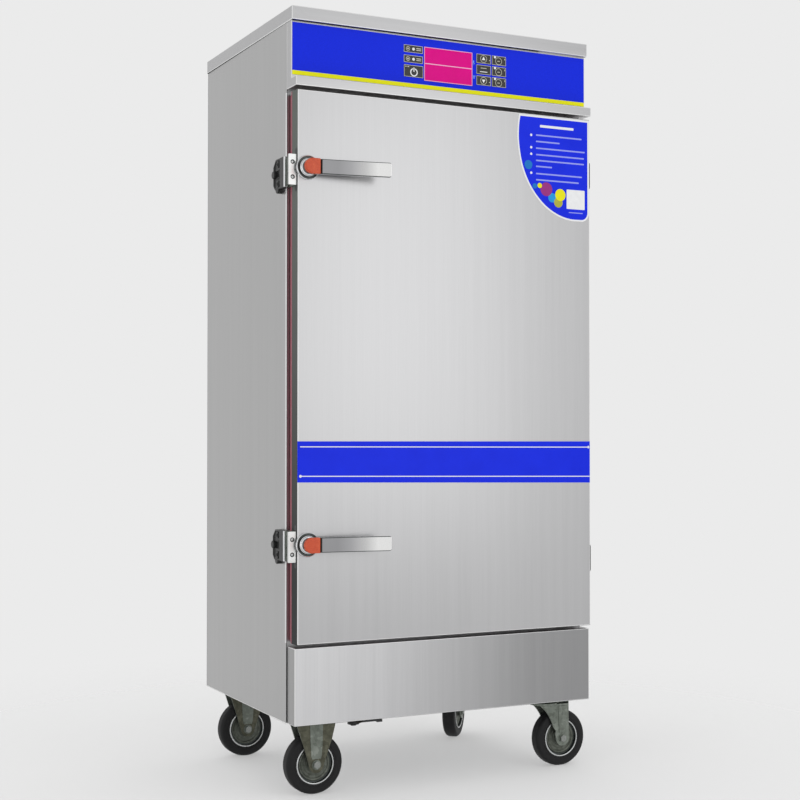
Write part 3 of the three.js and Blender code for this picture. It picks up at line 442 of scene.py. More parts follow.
def makeShadedChrome():
    # Satin-chromed zinc lever, smoother towards the tip, with a painted reflection in its colour: painted shade by
    # the spindle, running to a painted highlight at the tip
    material, tree, shader, place = startMaterial("satinChromedZincShaded", metal)
    along = addNode(tree, "SeparateXYZ", {}, {0: place}).outputs[0]
    sheenAndWear = addNode(tree, "MapRange", {1: leverSheenLook["dull"], 2: leverSheenLook["bright"], 3: 0.0, 4: 0.94}, {0: along})
    grain = addNode(tree, "TexNoise", {"Scale": 600.0, "Detail": 3.0}, {"Vector": place})
    mixed = addNode(tree, "Math", {"operation": "MULTIPLY_ADD", 1: 0.08}, {0: grain, 2: sheenAndWear})
    finishShader(tree, shader, leverSheenLook["stops"], mixed, (0.34, 0.22), sheenAndWear, 0.03, grain, 0.0002)
    return material


def makeGraded(name, settings, axis, reach, stops, rough):
    # One finish whose colour runs along an axis of the frame, mottled by 8 mm patches
    material, tree, shader, place = startMaterial(name, settings)
    along = addNode(tree, "SeparateXYZ", {}, {0: place}).outputs[axes.index(axis)]
    share = addNode(tree, "MapRange", {1: reach[0], 2: reach[1]}, {0: along})
    patches = addNode(tree, "TexNoise", {"Scale": 120.0, "Detail": 3.0}, {"Vector": place})
    mixed = addNode(tree, "Math", {"operation": "MULTIPLY_ADD", 1: 0.12, 2: -0.06}, {0: patches})
    total = addNode(tree, "Math", {"operation": "ADD"}, {0: mixed, 1: share})
    finishShader(tree, shader, stops, total, (rough - 0.06, rough + 0.06), patches, 0.1, patches, 0.0002)
    return material


def makeControlFilm():
    # Back-printed polyester film: clear blue with a yellow strip along its lower edge, and a fine satin texture
    settings = {"Roughness": 0.34, "Specular IOR Level": 0.1}
    material, tree, shader, place = startMaterial("backPrintedPolyester", settings)
    height = addNode(tree, "SeparateXYZ", {}, {0: place}).outputs[2]
    strip = addNode(tree, "Math", {"operation": "LESS_THAN", 1: filmLook["stripTop"]}, {0: height})
    grain = addNode(tree, "TexNoise", {"Scale": 900.0, "Detail": 2.0}, {"Vector": place})
    blue, yellow = [addNode(tree, "ValToRGB", {"stops": list(zip((0.3, 0.7), filmLook[key]))}, {0: grain})
                    for key in ("blue", "yellow")]
    colour = addNode(tree, "Mix", {"data_type": "RGBA"}, {0: strip, 6: blue, 7: yellow})
    bump = addNode(tree, "Bump", {"Strength": 0.05, "Distance": 0.0001}, {"Height": grain})
    tree.links.new(colour.outputs[2], shader.inputs["Base Color"])
    tree.links.new(bump.outputs[0], shader.inputs["Normal"])
    return material


filmLook = {"stripTop": 1.4705, "blue": ("#0E28DA", "#132FEA"), "yellow": ("#F2F012", "#FCFC22")}
# The plinth's painted shade: pale on the left, darker to the right
plinthPaintedShade = {"from": -0.352, "to": 0.340,
              "stops": [(0.0, "#D8D8D8"), (0.22, "#D0D0D0"), (0.5, "#B9B9B9"), (0.78, "#9F9F9F"), (1.0, "#999999")]}
# Where the lever's painted shade starts and its painted highlight ends along x, and the shades between
leverSheenLook = {"dull": -0.278, "bright": -0.195,
              "stops": [(0.05, "#98989A"), (0.35, "#A9A9AB"), (0.7, "#CBCBCB"), (1.0, "#F2F2F1")]}

brushedUpright = makeBrushedSteel("brushedStainlessUpright", "z", "#B4B4B5", "#BEBEBF")
brushedAcross = makeBrushedSteel("brushedStainlessAcross", "x", "#B4B4B5", "#BEBEBF")
# A darker copy of the brushed steel for the side and rear panels: painted shade
shadedSideSteel = makeBrushedSteel("brushedStainlessSideShade", "z", "#ADADAD", "#B7B7B7")
# A still darker copy for the plinth's side returns: painted shade
shadedReturnSteel = makeBrushedSteel("brushedStainlessReturnShade", "z", "#9E9E9E", "#A8A8A8")
brushedPlinth = makeBrushedSteel("brushedStainlessPlinth", "z", "#B4B4B5", "#BEBEBF", plinthPaintedShade)
milledSteel = makeMilledSteel()
# Grey-green where the plating is fresh; the olive, darker copy on the rigid forks' flanks and the grey, darker copy
# on the wheels' discs are painted shade
galvanised = makeGalvanised("zincPlatedSteel", ("#5E635B", "#7A8078", "#9A9F97"))
galvanisedFlankShade = makeGalvanised("zincPlatedSteelFlankShade", ("#45453A", "#5B5B4E", "#757565"))
galvanisedDiscShade = makeGalvanised("zincPlatedDiscShade", ("#4A4D46", "#63675F", "#7E827A"))
controlPolyester = makeControlFilm()
shadedSatinChrome = makeShadedChrome()
# Chrome-plated zinc casting: bright and nearly mirror smooth, with a faint cast waviness
polishedChrome = makeSpeckled("chromePlatedZinc", metal, 0.004, 0.02, ("#D2D3D5", "#E6E7E8"), (0.07, 0.16), 0.02)
# Zinc-plated fasteners: bright and silvery when new, and grey and duller on the casters' nuts
brightZinc = makeSpeckled("brightZincPlate", metal, 0.001, 0.006, ("#B9BBBB", "#D0D2D2"), (0.2, 0.36), 0.05)
dulledZinc = makeSpeckled("dulledZincPlate", metal, 0.002, 0.006, ("#7B7E7B", "#A3A6A2"), (0.24, 0.4), 0.1)
# Satin nickel plate on the latch's face: pale and even, too dull to mirror the lever's cap
satinNickel = makeSpeckled("satinNickelPlate", metal, 0.001, 0.012, ("#D8D9D8", "#E4E5E4"), (0.3, 0.4), 0.03)
# Black stoving enamel on cast zinc: a soft gloss over the sand-like skin of the casting
blackEnamel = makeSpeckled("blackEnamelledCasting", {"Specular IOR Level": 0.35}, 0.0009, 0.012,
                           ("#151616", "#2A2B2B"), (0.26, 0.46), 0.35)
# Black print behind polyester: even, nearly black and smooth
blackFilm = makeSpeckled("blackPrintedPolyester", {}, 0.001, 0.02, ("#171716", "#24231F"), (0.28, 0.38), 0.04)
# Magenta acrylic window: a clear strong colour with hardly any texture
magentaAcrylic = makeSpeckled("magentaAcrylicWindow", {"Specular IOR Level": 0.1}, 0.002, 0.03,
                              ("#DC0084", "#E8008E"), (0.18, 0.26), 0.01)
# Moulded ABS caps: orange-red with a slightly mottled flow and a soft gloss
orangeMoulding = makeSpeckled("orangeMouldedAbs", {}, 0.0022, 0.012,
                              [(0.25, "#AC3512"), (0.5, "#CA4A20"), (0.8, "#DA6E46")], (0.3, 0.45), 0.08, 0.4)
# Extruded silicone sponge: red with a soft skin, running to nearly black by painted shade where it beds on the
# cabinet
redSilicone = makeGraded("redSiliconeSeal", {"Sheen Weight": 0.1}, "y", (-0.2112, -0.2262),
                         [(0.0, "#14080A"), (0.08, "#2A0E13"), (0.2, "#8C3646"), (1.0, "#A2485A")], 0.6)
# Moulded rubber: nearly black and dull, with a faint skin from the mould
tyreRubber = makeSpeckled("mouldedBlackRubber", {"Specular IOR Level": 0.3}, 0.0007, 0.03,
                          ("#0E0E0F", "#1A1A1B"), (0.5, 0.7), 0.2)
# Pressed mineral wool: matt and straw yellow, with short fibres
mineralWool = makeSpeckled("mineralWoolSlab", {}, 0.002, 0.03, ("#BFAE6A", "#DCCF97"), (0.9, 1.0), 0.6)
# Epoxy board under green solder resist: even, with a soft sheen
circuitBoard = makeSpeckled("greenCircuitBoard", {}, 0.002, 0.015,
                            [(0.35, "#175A2E"), (0.65, "#227A41")], (0.35, 0.5), 0.1)
# Brass body of the drain valve, blackened by steam and floor cleaning
agedBrass = makeSpeckled("blackenedBrass", {"Metallic": 0.7}, 0.0015, 0.01, ("#1D1A16", "#38322A"), (0.4, 0.6), 0.1)
# Moulded nylon: black and half dull, with a faint skin from the mould
blackNylon = makeSpeckled("mouldedBlackNylon", {}, 0.001, 0.01, ("#1B1B1B", "#2B2B2B"), (0.4, 0.55), 0.08)
# Printed vinyl: even glossy blue with a very slight orange-peel skin
blueVinyl = makeSpeckled("bluePrintedVinyl", {"Specular IOR Level": 0.12}, 0.001, 0.05,
                         ("#1028DC", "#1630EC"), (0.28, 0.36), 0.03)
# Folds of the sheets: a pale metal that paints a highlight along them
paintedFoldHighlight = makeSpeckled("stainlessFoldHighlight", metal, 0.001, 0.08, ("#DADADA", "#F0F0F0"), (0.3, 0.4), 0.02)
# Dull, dark grey zinc for painted shade in grooves, recesses and on edges
paintedShadeZinc = makeSpeckled("paintedShadeZinc", {"Metallic": 0.9}, 0.0008, 0.006,
                               ("#3F4342", "#5E6361"), (0.3, 0.45), 0.15)
# Extruded PVC frame between the door's two sheets: grey-green with a soft sheen, darker towards the floor by painted
# shade
greyProfile = makeGraded("extrudedGreyPvc", {"Specular IOR Level": 0.12}, "z", (0.45, 1.25),
                         [(0.0, "#1C1E1F"), (0.2, "#343634"), (0.55, "#4E504E"), (1.0, "#5E635E")], 0.42)
# Screen inks: flat, opaque and slightly mottled
paleInk, whiteInk, pinkInk, purpleInk, cyanInk, yellowInk, oliveInk, tealInk, skyInk, lilacInk = [
    makeSpeckled(name + "ScreenInk", {"Specular IOR Level": 0.15}, 0.001, 0.01, shades, (0.4, 0.5), 0.02)
    for name, *shades in (
        ("pale", "#C9C5B4", "#DAD7C8"), ("white", "#E9EAEC", "#F6F7F8"), ("palePink", "#F4A9D2", "#F9C0DE"),
        ("purple", "#963080", "#A23A84"), ("cyan", "#1E94DA", "#2CA4E8"), ("yellow", "#E8E410", "#F6F020"),
        ("olive", "#A8A83C", "#BCBA4C"), ("teal", "#1A6FC0", "#2480CC"), ("skyBlue", "#6BA2F6", "#86B6FF"),
        ("lilac", "#8F98F0", "#A3ABF6"))]
print("materials made")


# Cabinet panels: bent sheets whose outer folds are rounded

panelLook = {"fold": 0.0016, "wide": 0.006}
panels = [
    ("side_panel_left", "cabinetSideLeft", "side_steel", shadedSideSteel),
    ("side_panel_right", "cabinetSideRight", "side_steel", shadedSideSteel),
    ("rear_panel", "cabinetRear", "side_steel", shadedSideSteel),
    ("top_cover", "cabinetTopCap", "outer_steel", brushedAcross),
    ("header_housing", "controlHeader", "outer_steel", brushedAcross),
    ("plinth_panel", "plinthPanel", "outer_steel", brushedPlinth),
    ("face_frame", "chamberFaceFrame", "inner_steel", brushedUpright),
]
for node, name, slot, steel in panels:
    panel = copyNode(node, name)
    foldEdges(panel, panelLook["fold"], panelLook["wide"])
    finishPiece(panel, "cabinet", steel, [node])
    # Painted highlight on the panels' folds
    paintFaces(panel, paintedFoldHighlight, onFold)
    if node.startswith("side_panel"):  # painted shade on the front edge, beside the header and the plinth
        paintFaces(panel, paintedShadeZinc, lambda face: face.normal.y < -0.2 and abs(face.normal.z) < 0.2)
    if node == "plinth_panel":
        # Painted shade: the plinth's side returns get the darker copy of the steel
        paintFaces(panel, shadedReturnSteel, lambda face: abs(face.normal.x) > 0.99)
        # Painted shade along the plinth's lower fold
        paintFaces(panel, paintedShadeZinc, lambda face: -0.99 < face.normal.z < -0.3)

foldLook = {"width": 0.0003, "depth": 0.0056, "radius": 0.0006, "proud": 0.0004, "bottom": 0.3165, "top": 1.4290}
for side, name in ((-1, "Left"), (1, "Right")):
    # The rounded fold at the front of each side panel, as long as the door: a proud strip with a painted highlight
    low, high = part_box("side_panel_" + name.lower())
    outer = low[0] if side < 0 else high[0]
    face, front = outer + side * foldLook["proud"], low[1] - foldLook["proud"]
    near, far = sorted((face, outer - side * foldLook["width"]))
    fold = addBlock("cabinetFold" + name, (near, front, foldLook["bottom"]),
                    (far, front + foldLook["depth"], foldLook["top"]))
    bevelPicked(fold, foldLook["radius"], 5, edgeAlong("z", lambda m: abs(m.x - face) < weld and m.y < front + weld))
    finishPiece(fold, "cabinet", paintedFoldHighlight)

doorFold = (0.002, 0.006, 4)  # radius, narrowest face and segments
doorSkin = copyNode("door_skin", "doorOuterSkin")
foldEdges(doorSkin, *doorFold)
finishPiece(doorSkin, "door", brushedUpright, ["door_skin"])
# Painted highlight on the door's folds
paintFaces(doorSkin, paintedFoldHighlight, onFold)
edgeFrameLook = {"front": 0.0019, "back": 0.0004, "proud": 0.0003, "depth": 0.002, "wing": 0.0034}
(left, front, bottom), (right, rear, top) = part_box("door_skin")
proud = edgeFrameLook["proud"]
wing = rear - edgeFrameLook["wing"]
for name, near, far, slot, material in (
        ("doorEdgeFrame", front + edgeFrameLook["front"], wing, "black_plastic", greyProfile),
        ("doorSealWing", wing, rear - edgeFrameLook["back"], "red_silicone", redSilicone)):
    # The plastic frame and the seal's wing, rings round the door's sides
    ring = addBlock(name, (left - proud, near, bottom - proud), (right + proud, far, top + proud))
    finishPiece(boreThrough(ring, looksAlongY, edgeFrameLook["depth"]), "door", material)
doorPan = copyNode("door_pan", "doorInnerPan")
foldEdges(doorPan, *doorFold[:2])
finishPiece(doorPan, "door", milledSteel, ["door_pan"])
seal = roundEdges(copyNode("door_gasket", "doorSeal"), 0.005, 4)
finishPiece(seal, "door", redSilicone, ["door_gasket"])
print("panels and door made")


# Screws, modelled once: a domed head with a cross recess, its seat at the origin and its top towards +z

screwLook = {"radius": 0.0044, "height": 0.0016, "recess": 0.0009}


def addScrew():
    radius, height = screwLook["radius"], screwLook["height"]
    head = addRod("screwHead", "z", radius, 0, height * 0.35, (0, 0, 0), 24)
    stepEnd(head, "z", 1, (radius, height * 0.35),
            [(radius * 0.93, height * 0.68), (radius * 0.74, height * 0.9), (radius * 0.4, height)], (0, 0, 0))
    for along, across in ((0.62, 0.14), (0.14, 0.62)):
        cutWith(head, addBlock("crossCutter", (-radius * along, -radius * across, height - screwLook["recess"]),
                               (radius * along, radius * across, height * 2)))
    return head


screwMaster = addScrew()
towards = {"-x": Matrix.Rotation(-pi / 2, 4, "Y"), "+x": Matrix.Rotation(pi / 2, 4, "Y"),
           "-y": Matrix.Rotation(pi / 2, 4, "X"), "+y": Matrix.Rotation(-pi / 2, 4, "X"),
           "-z": Matrix.Rotation(pi, 4, "X"), "+z": Matrix.Identity(4)}


def placeScrews(name, body, facing, places, size=1.0, material=None):
    screws = []
    for i, place in enumerate(places):
        turn = Matrix.Rotation(0.5 + 0.7 * i, 4, "Z")
        matrix = Matrix.Translation(place) @ towards[facing] @ Matrix.Scale(size, 4) @ turn
        screws.append(copyPiece(screwMaster, name, matrix))
    return finishPiece(joinPieces(screws, name), body, material or brightZinc)


def upAndDown(place, x, y, half):
    # Two places, one above the other, beside the place given
    return [place + Vector((x, y, up * half)) for up in (1, -1)]


# Latches on the door's left edge, each modelled round its spindle

latchPlaces = {"upper": Vector((-0.331233, -0.26115, 1.271)), "lower": Vector((-0.331233, -0.26115, 0.517))}
facePlateLook = {"low": (-0.0390, 0.0055, -0.0355), "high": (-0.0212, 0.0090, 0.0265), "corner": 0.0015,
                 "edge": 0.0005, "sink": 0.0046, "sinkFoot": (0.0022, 0.0024), "screwX": -0.030,
                 "screwZ": (-0.0195, 0.0105)}
edgePlateLook = {"low": (-0.0250, 0.0070, -0.0355), "high": (-0.0209, 0.0480, 0.0265), "corner": 0.003}
flangeLook = {"low": (-0.0218, 0.0030, -0.0470), "high": (-0.0208, 0.0150, 0.0385), "corner": 0.004}
caseLook = {"low": (-0.0208, 0.005, -0.027), "high": (0.025, 0.029, 0.027), "corner": 0.004,
            "neck": (0.017, -0.0002, 0.006)}
roseLook = {
    "start": (0.025, 0.0012),
    "front": [(0.0249, 0.0026), (0.0244, 0.0036), (0.0236, 0.0041), (0.0229, 0.0039), (0.0225, 0.0024),
              (0.0190, 0.0024), (0.0187, 0.0050), (0.0180, 0.0061), (0.0172, 0.0068), (0.0168, 0.0086),
              (0.0158, 0.0096), (0.0140, 0.0100)],
    "groove": (0.0184, 0.0230),
}
leverLook = {
    "root": ((-0.0152, -0.018, -0.015), (0.0168, -0.012, 0.015)), "rootRound": 0.0149, "height": 0.030,
    "shoulder": [((0.0182, -0.0170, 0), (0, 0.0100, 0.030)), ((0.0198, -0.0192, 0), (0, 0.0142, 0.030))],
    "barStart": 0.0218, "barEnd": 0.165, "back": (-0.0120, -0.0245, -0.0387), "front": (-0.0267, -0.0334, -0.0477),
    "steps": 12, "tipCorner": 0.005, "soften": 0.0016, "spindleEnd": -0.0125,
}
capLook = {"radius": 0.0155, "right": 0.0165, "back": -0.018, "front": -0.029, "soften": 0.0017}


def curveAt(points, share):
    a, b, c = points
    return (1 - share) ** 2 * a + 2 * share * (1 - share) * b + share ** 2 * c


def addFacePlate():
    # The bright plate beside the door's edge, with two countersunk holes
    look = facePlateLook
    plate = addPlate("latchFacePlate", look["low"], look["high"], "y", look["corner"], 4, look["edge"])
    radius, front, (foot, depth) = look["sink"], look["low"][1], look["sinkFoot"]
    for z in look["screwZ"]:
        centre = (look["screwX"], 0, z)
        sink = addRod("sinkCutter", "y", radius, front - 0.001, front, centre, 28)
        stepEnd(sink, "y", 1, (radius, front), [(foot, front + depth)], centre)
        cutWith(plate, sink)
    return plate


def addLatchCase():
    case = roundEdges(addBlock("latchCase", caseLook["low"], caseLook["high"]), caseLook["corner"], 3)
    neck = addRod("latchNeck", "y", *caseLook["neck"], (0, 0, 0), 40)
    edge = addPlate("latchEdge", edgePlateLook["low"], edgePlateLook["high"], "x", edgePlateLook["corner"], 4, 0.0005,
                    lambda middle: middle.y > 0.02)
    return joinPieces([case, neck, edge], "latchCase")


def addRosette():
    radius, half = roseLook["start"]
    rose = addRod("latchRosette", "y", radius, -half, 0, (0, 0, 0), 64)
    stepEnd(rose, "y", -1, (radius, -half), [(r, -d) for r, d in roseLook["front"]], (0, 0, 0))
    return rose


def addLever():
    bar = addBlock("leverBar", *leverLook["root"])
    start, end, height = leverLook["barStart"], leverLook["barEnd"], leverLook["height"]
    stations = list(leverLook["shoulder"])
    for i in range(leverLook["steps"] + 1):
        share = i / leverLook["steps"]
        back, front = curveAt(leverLook["back"], share), curveAt(leverLook["front"], share)
        if i == 0:
            back = leverLook["root"][1][1]
        stations.append(((start + (end - start) * share, (back + front) / 2, 0), (0, back - front, height)))
    extendEnd(bar, "x", 1, stations)
    bevelPicked(bar, leverLook["rootRound"], 8, edgeAlong("y", lambda m: m.x < -0.0151))
    bevelPicked(bar, leverLook["tipCorner"], 5, edgeAlong("y", lambda m: m.x > end - 1e-4))
    return roundEdges(bar, leverLook["soften"], 3, 50)


def addSpindle(node, place):
    # The shaft, cam and nose behind the rosette, cut from the CAD lever
    spindle = copyNode(node, "leverSpindle")
    spindle.data.transform(Matrix.Translation(-place))
    cutPlane(spindle, (0, leverLook["spindleEnd"], 0), (0, -1, 0))
    return spindle


def addLeverCap():
    # Half a disc round the spindle, drawn out along the lever
    cap = addRod("leverCap", "y", capLook["radius"], capLook["front"], capLook["back"], (0, 0, 0), 56)
    cutPlane(cap, (0, 0, 0), (1, 0, 0))
    startEdit(cap)
    pick(cap, "faces", faceLooks("x", 1))
    extrudeBy((capLook["right"], 0, 0))
    endEdit()
    return roundEdges(cap, capLook["soften"], 4, 50)


upperLever = [addLever(), addSpindle("handle_lever_upper", latchPlaces["upper"])]
latchMasters = {
    "FacePlate": (addFacePlate(), satinNickel, "chrome", "door"),
    "Case": (addLatchCase(), galvanised, "zinc_steel", "door"),
    # The dark flange that frames the case's slot in the door's side; its black is painted shade for the slot
    "Flange": (addPlate("latchFlange", flangeLook["low"], flangeLook["high"], "x", flangeLook["corner"], 4, 0.0003),
               blackEnamel, "black_casting", "door"),
    "Rosette": (addRosette(), polishedChrome, "chrome", "door"),
    "Lever": (joinPieces(upperLever, "lever"), shadedSatinChrome, "chrome", ""),
    "LeverCap": (addLeverCap(), orangeMoulding, "orange_plastic", ""),
}
for level, place in latchPlaces.items():
    stands = {"Case": ["latch_case_" + level], "Lever": ["handle_lever_" + level],
              "LeverCap": ["handle_cap_" + level]}
    near, far = roseLook["groove"]
    # Painted shade on the latches: the rosette's groove, the lever's edges and the face plate's countersinks
    shadedFaces = {
        "Rosette": lambda face: near < (face.center - place).xz.length < far,
        "Lever": lambda face: -0.975 < face.normal.y < -0.15,
        "FacePlate": lambda face: face.center.y > place.y + 0.0057 and -0.9 < face.normal.y < 0,
    }
    for part, (master, material, slot, body) in latchMasters.items():
        piece = placeCopy(master, "latch" + part + level.capitalize(), Matrix.Translation(place),
                          body or "handle_" + level, material, stands.get(part, []))
        if part in shadedFaces:
            paintFaces(piece, paintedShadeZinc, shadedFaces[part])
    screwPlaces = [place + Vector((facePlateLook["screwX"], 0.0074, z)) for z in facePlateLook["screwZ"]]
    placeScrews("latchScrews" + level.capitalize(), "door", "-y", screwPlaces, 0.62)
removeAll([master for master, *rest in latchMasters.values()])
print("latches made")


# Latch keepers and hinges: enamelled castings with a sunk field, a round boss and two screws

castingLook = {
    "half": 0.031, "chamfer": {1: 0.014, -1: 0.009}, "rim": 0.0034, "sink": 0.0026, "boss": 0.008, "bossInset": 0.009,
    "screwPitch": 0.040, "screwInset": 0.0245, "pad": (0.0068, 0.0062), "soften": 0.0013,
    "ribs": (-0.008, 0.008), "ribHalf": 0.0012, "ribEnds": (0.004, 0.016),
}


def addCasting(name, face, back, front, rear, bossEnd):
    # The plate spans face to back on x and front to rear on y; the boss stands on its face.
    half, rim, sink, boss = [castingLook[key] for key in ("half", "rim", "sink", "boss")]
    side = 1 if bossEnd > face else -1
    plate = addBlock(name, (min(face, back), front, -half), (max(face, back), rear, half))
    for up, chamfer in castingLook["chamfer"].items():
        cutPlane(plate, (0, rear - chamfer, up * half), (0, 1, up))
    startEdit(plate)
    pick(plate, "faces", faceLooks("x", side))
    bpy.ops.mesh.inset(thickness=rim)
    extrudeBy((-side * sink, 0, 0))
    bpy.ops.transform.resize(value=(1, 0.96, 0.97), center_override=(face, (front + rear) / 2, 0))
    endEdit()
    parts = [roundEdges(plate, castingLook["soften"], 3, 30)]
    seat, step = face - side * sink, side * 0.0006
    bossPlace = (0, rear - castingLook["bossInset"], 0)
    parts.append(addRod(name, "x", boss, seat, bossEnd - side * 0.0016, bossPlace, 32))
    stepEnd(parts[-1], "x", side, (boss, bossEnd - side * 0.0016),
            [(boss - 0.0006, bossEnd - step), (boss - 0.0018, bossEnd)], bossPlace)
    wide, narrow = castingLook["pad"]
    for up in (1, -1):
        padPlace = (0, rear - castingLook["screwInset"], up * castingLook["screwPitch"] / 2)
        parts.append(addRod(name, "x", wide, seat, face - step, padPlace, 28))
        stepEnd(parts[-1], "x", side, (wide, face - step), [(narrow, face)], padPlace)
    ribFront, ribRear = castingLook["ribEnds"]
    for lift in castingLook["ribs"]:  # between the boss and the front rim
        rib = addBlock(name, (min(seat, face), front + ribFront, lift - castingLook["ribHalf"]),
                       (max(seat, face), rear - ribRear, lift + castingLook["ribHalf"]))
        parts.append(roundEdges(rib, 0.0005))
    return joinPieces(parts, name)


keeperPlaces = {"upper": Vector((-0.356233, -0.21115, 1.2665)), "lower": Vector((-0.356233, -0.21115, 0.5125))}
keeperLook = {
    "body": (-0.010, 0.0, 0.012, 0.050, -0.0145), "lip": ((-0.0104, -0.0068, -0.031), (-0.0046, 0.0125, 0.031)),
    "lug": (0.008, -0.0088, [(0.0074, -0.0096), (0.0062, -0.0100)]), "lugPlace": (0, 0.030, -0.031),
    "strike": ((-0.0100, -0.0122, -0.0306), (-0.0020, -0.0066, 0.0306)), "ramp": 0.0018,
}
lugRadius, lugEnd, lugSteps = keeperLook["lug"]
keeperLug = addRod("keeperLug", "x", lugRadius, lugEnd, 0.0, keeperLook["lugPlace"], 32)
stepEnd(keeperLug, "x", -1, (lugRadius, lugEnd), lugSteps, keeperLook["lugPlace"])
keeperMaster = joinPieces([addCasting("keeperCasting", *keeperLook["body"]),
                           roundEdges(addBlock("keeperLip", *keeperLook["lip"]), 0.0009), keeperLug], "keeperCasting")
# The strike: a bright strip on the lip, with a ramp that the bolt slides over
strikeMaster = addPlate("strikeStrip", *keeperLook["strike"], "z", keeperLook["ramp"], 4, 0.0004,
                        lambda m: m.x < -0.0098 and m.y < -0.0120)
for level, place in keeperPlaces.items():
    tag, at = level.capitalize(), Matrix.Translation(place)
    placeCopy(keeperMaster, "keeperCasting" + tag, at, "cabinet", blackEnamel,
              ["latch_keeper_" + level])
    placeCopy(strikeMaster, "keeperStrike" + tag, at, "cabinet", polishedChrome)
    placeScrews("keeperScrews" + tag, "cabinet", "-x", upAndDown(place, -0.0102, 0.0255, 0.020), 0.85,
                blackEnamel)
removeAll([keeperMaster, strikeMaster])

hingePlaces = {"upper": Vector((0.351767, -0.21715, 1.305)), "lower": Vector((0.351767, -0.21715, 0.464))}
hingeLook = {
    "bracket": (-0.003, -0.008, 0.008, 0.057, 0.0065), "barrel": 0.0065, "knuckle": 0.0104, "gap": 0.0006,
    "end": 0.031, "bracketWeb": ((-0.008, 0.0), (0.0005, 0.0095)),
    "leaf": ((-0.012, -0.040, -0.0304), (-0.008, -0.002, 0.0304)), "corner": 0.006,
    "leafWeb": ((-0.0085, -0.0065, -0.0102), (0.0, 0.0, 0.0102)), "pin": (0.003, 0.0312),
    "pinHead": [(0.0044, 0.0312), (0.0042, 0.0322), (0.0026, 0.0330)],
}


def addBarrel(name, low, high):
    return roundEdges(addRod(name, "z", hingeLook["barrel"], low, high, (0, 0, 0), 32), 0.0006)


def addHingeBracket():
    parts = [addCasting("hingeBracket", *hingeLook["bracket"])]
    near = hingeLook["knuckle"] + hingeLook["gap"]
    webLow, webHigh = hingeLook["bracketWeb"]
    for side in (1, -1):
        low, high = sorted((side * near, side * hingeLook["end"]))
        parts.append(addBarrel("hingeBracket", low, high))
        parts.append(roundEdges(addBlock("hingeBracket", (*webLow, low + 0.0004), (*webHigh, high - 0.0004)), 0.0005))
    return joinPieces(parts, "hingeBracket")


def addHingeLeaf():
    leaf = addPlate("hingeLeaf", *hingeLook["leaf"], "x", hingeLook["corner"], 5, 0.0007, lambda m: m.y < -0.03)
    barrel = addBarrel("hingeLeaf", -hingeLook["knuckle"], hingeLook["knuckle"])
    return joinPieces([leaf, addBlock("hingeLeaf", *hingeLook["leafWeb"]), barrel], "hingeLeaf")


def addHingePin():
    radius, end = hingeLook["pin"]
    pin = addRod("hingePin", "z", radius, -end, end, (0, 0, 0), 24)
    for side in (1, -1):
        stepEnd(pin, "z", side, (radius, side * end), [(r, side * z) for r, z in hingeLook["pinHead"]], (0, 0, 0))
    return pin


hingeMasters = {"Bracket": (addHingeBracket(), "cabinet", "black_casting", blackEnamel),
                "Leaf": (addHingeLeaf(), "door", "black_casting", blackEnamel),
                "Pin": (addHingePin(), "cabinet", "zinc_steel", brightZinc)}
for level, place in hingePlaces.items():
    tag = level.capitalize()
    stands = {"Bracket": ["hinge_bracket_" + level], "Leaf": ["hinge_leaf_" + level]}
    for part, (master, body, slot, material) in hingeMasters.items():
        placeCopy(master, "hinge" + part + tag, Matrix.Translation(place), body, material, stands.get(part, []))
    placeScrews("hingeScrews" + tag, "cabinet", "+x", upAndDown(place, -0.0032, 0.0325, 0.020), 0.85)
    placeScrews("hingeLeafScrews" + tag, "door", "+x", upAndDown(place, -0.0081, -0.028, 0.018), 0.8)
removeAll([master for master, *rest in hingeMasters.values()])
print("keepers and hinges made")


# Casters, each modelled from the point on the floor below the centre of its plate

casterLook = {
    "height": 0.155, "axle": 0.061965, "plate": (0.104, 0.082, 0.0035), "legGap": 0.018, "leg": 0.003, "eye": 0.017,
    "boltPlace": (0.041, 0.031), "bolt": (0.0062, 0.0045), "washer": (0.0078, 0.0010), "band": (0.0004, 0.0012),
    "shaft": (0.006, 0.0052), "axleWasher": (0.010, 0.0012), "nut": (0.0078, 0.0011, 0.0046),
    "nutEnd": (0.0068, 0.0050),
}
tyreLook = {
    "start": (0.061965, 0.0070),
    "side": [(0.0614, 0.0098), (0.0600, 0.0122), (0.0588, 0.0132), (0.0576, 0.0144), (0.0560, 0.0148),
             (0.0540, 0.0150), (0.0470, 0.0150), (0.0462, 0.0143), (0.0450, 0.0143), (0.0442, 0.0148),
             (0.0424, 0.0144), (0.0410, 0.0136), (0.0383, 0.0130)],
}
hubLook = {
    "start": (0.0380, 0.0131),
    "side": [(0.0408, 0.0139), (0.0412, 0.0146), (0.0407, 0.0151), (0.0396, 0.0152), (0.0386, 0.0148),
             (0.0379, 0.0136), (0.0374, 0.0086), (0.0352, 0.0084), (0.0346, 0.0096), (0.0336, 0.0103),
             (0.0318, 0.0104), (0.0300, 0.0096), (0.0288, 0.0082), (0.0236, 0.0080), (0.0228, 0.0088),
             (0.0180, 0.0092), (0.0172, 0.0102), (0.0130, 0.0108), (0.0122, 0.0116), (0.0117, 0.0148),
             (0.0110, 0.0150), (0.0063, 0.0150)],
    "groove": (0.0345, 0.0379), "lip": 0.0382,
}


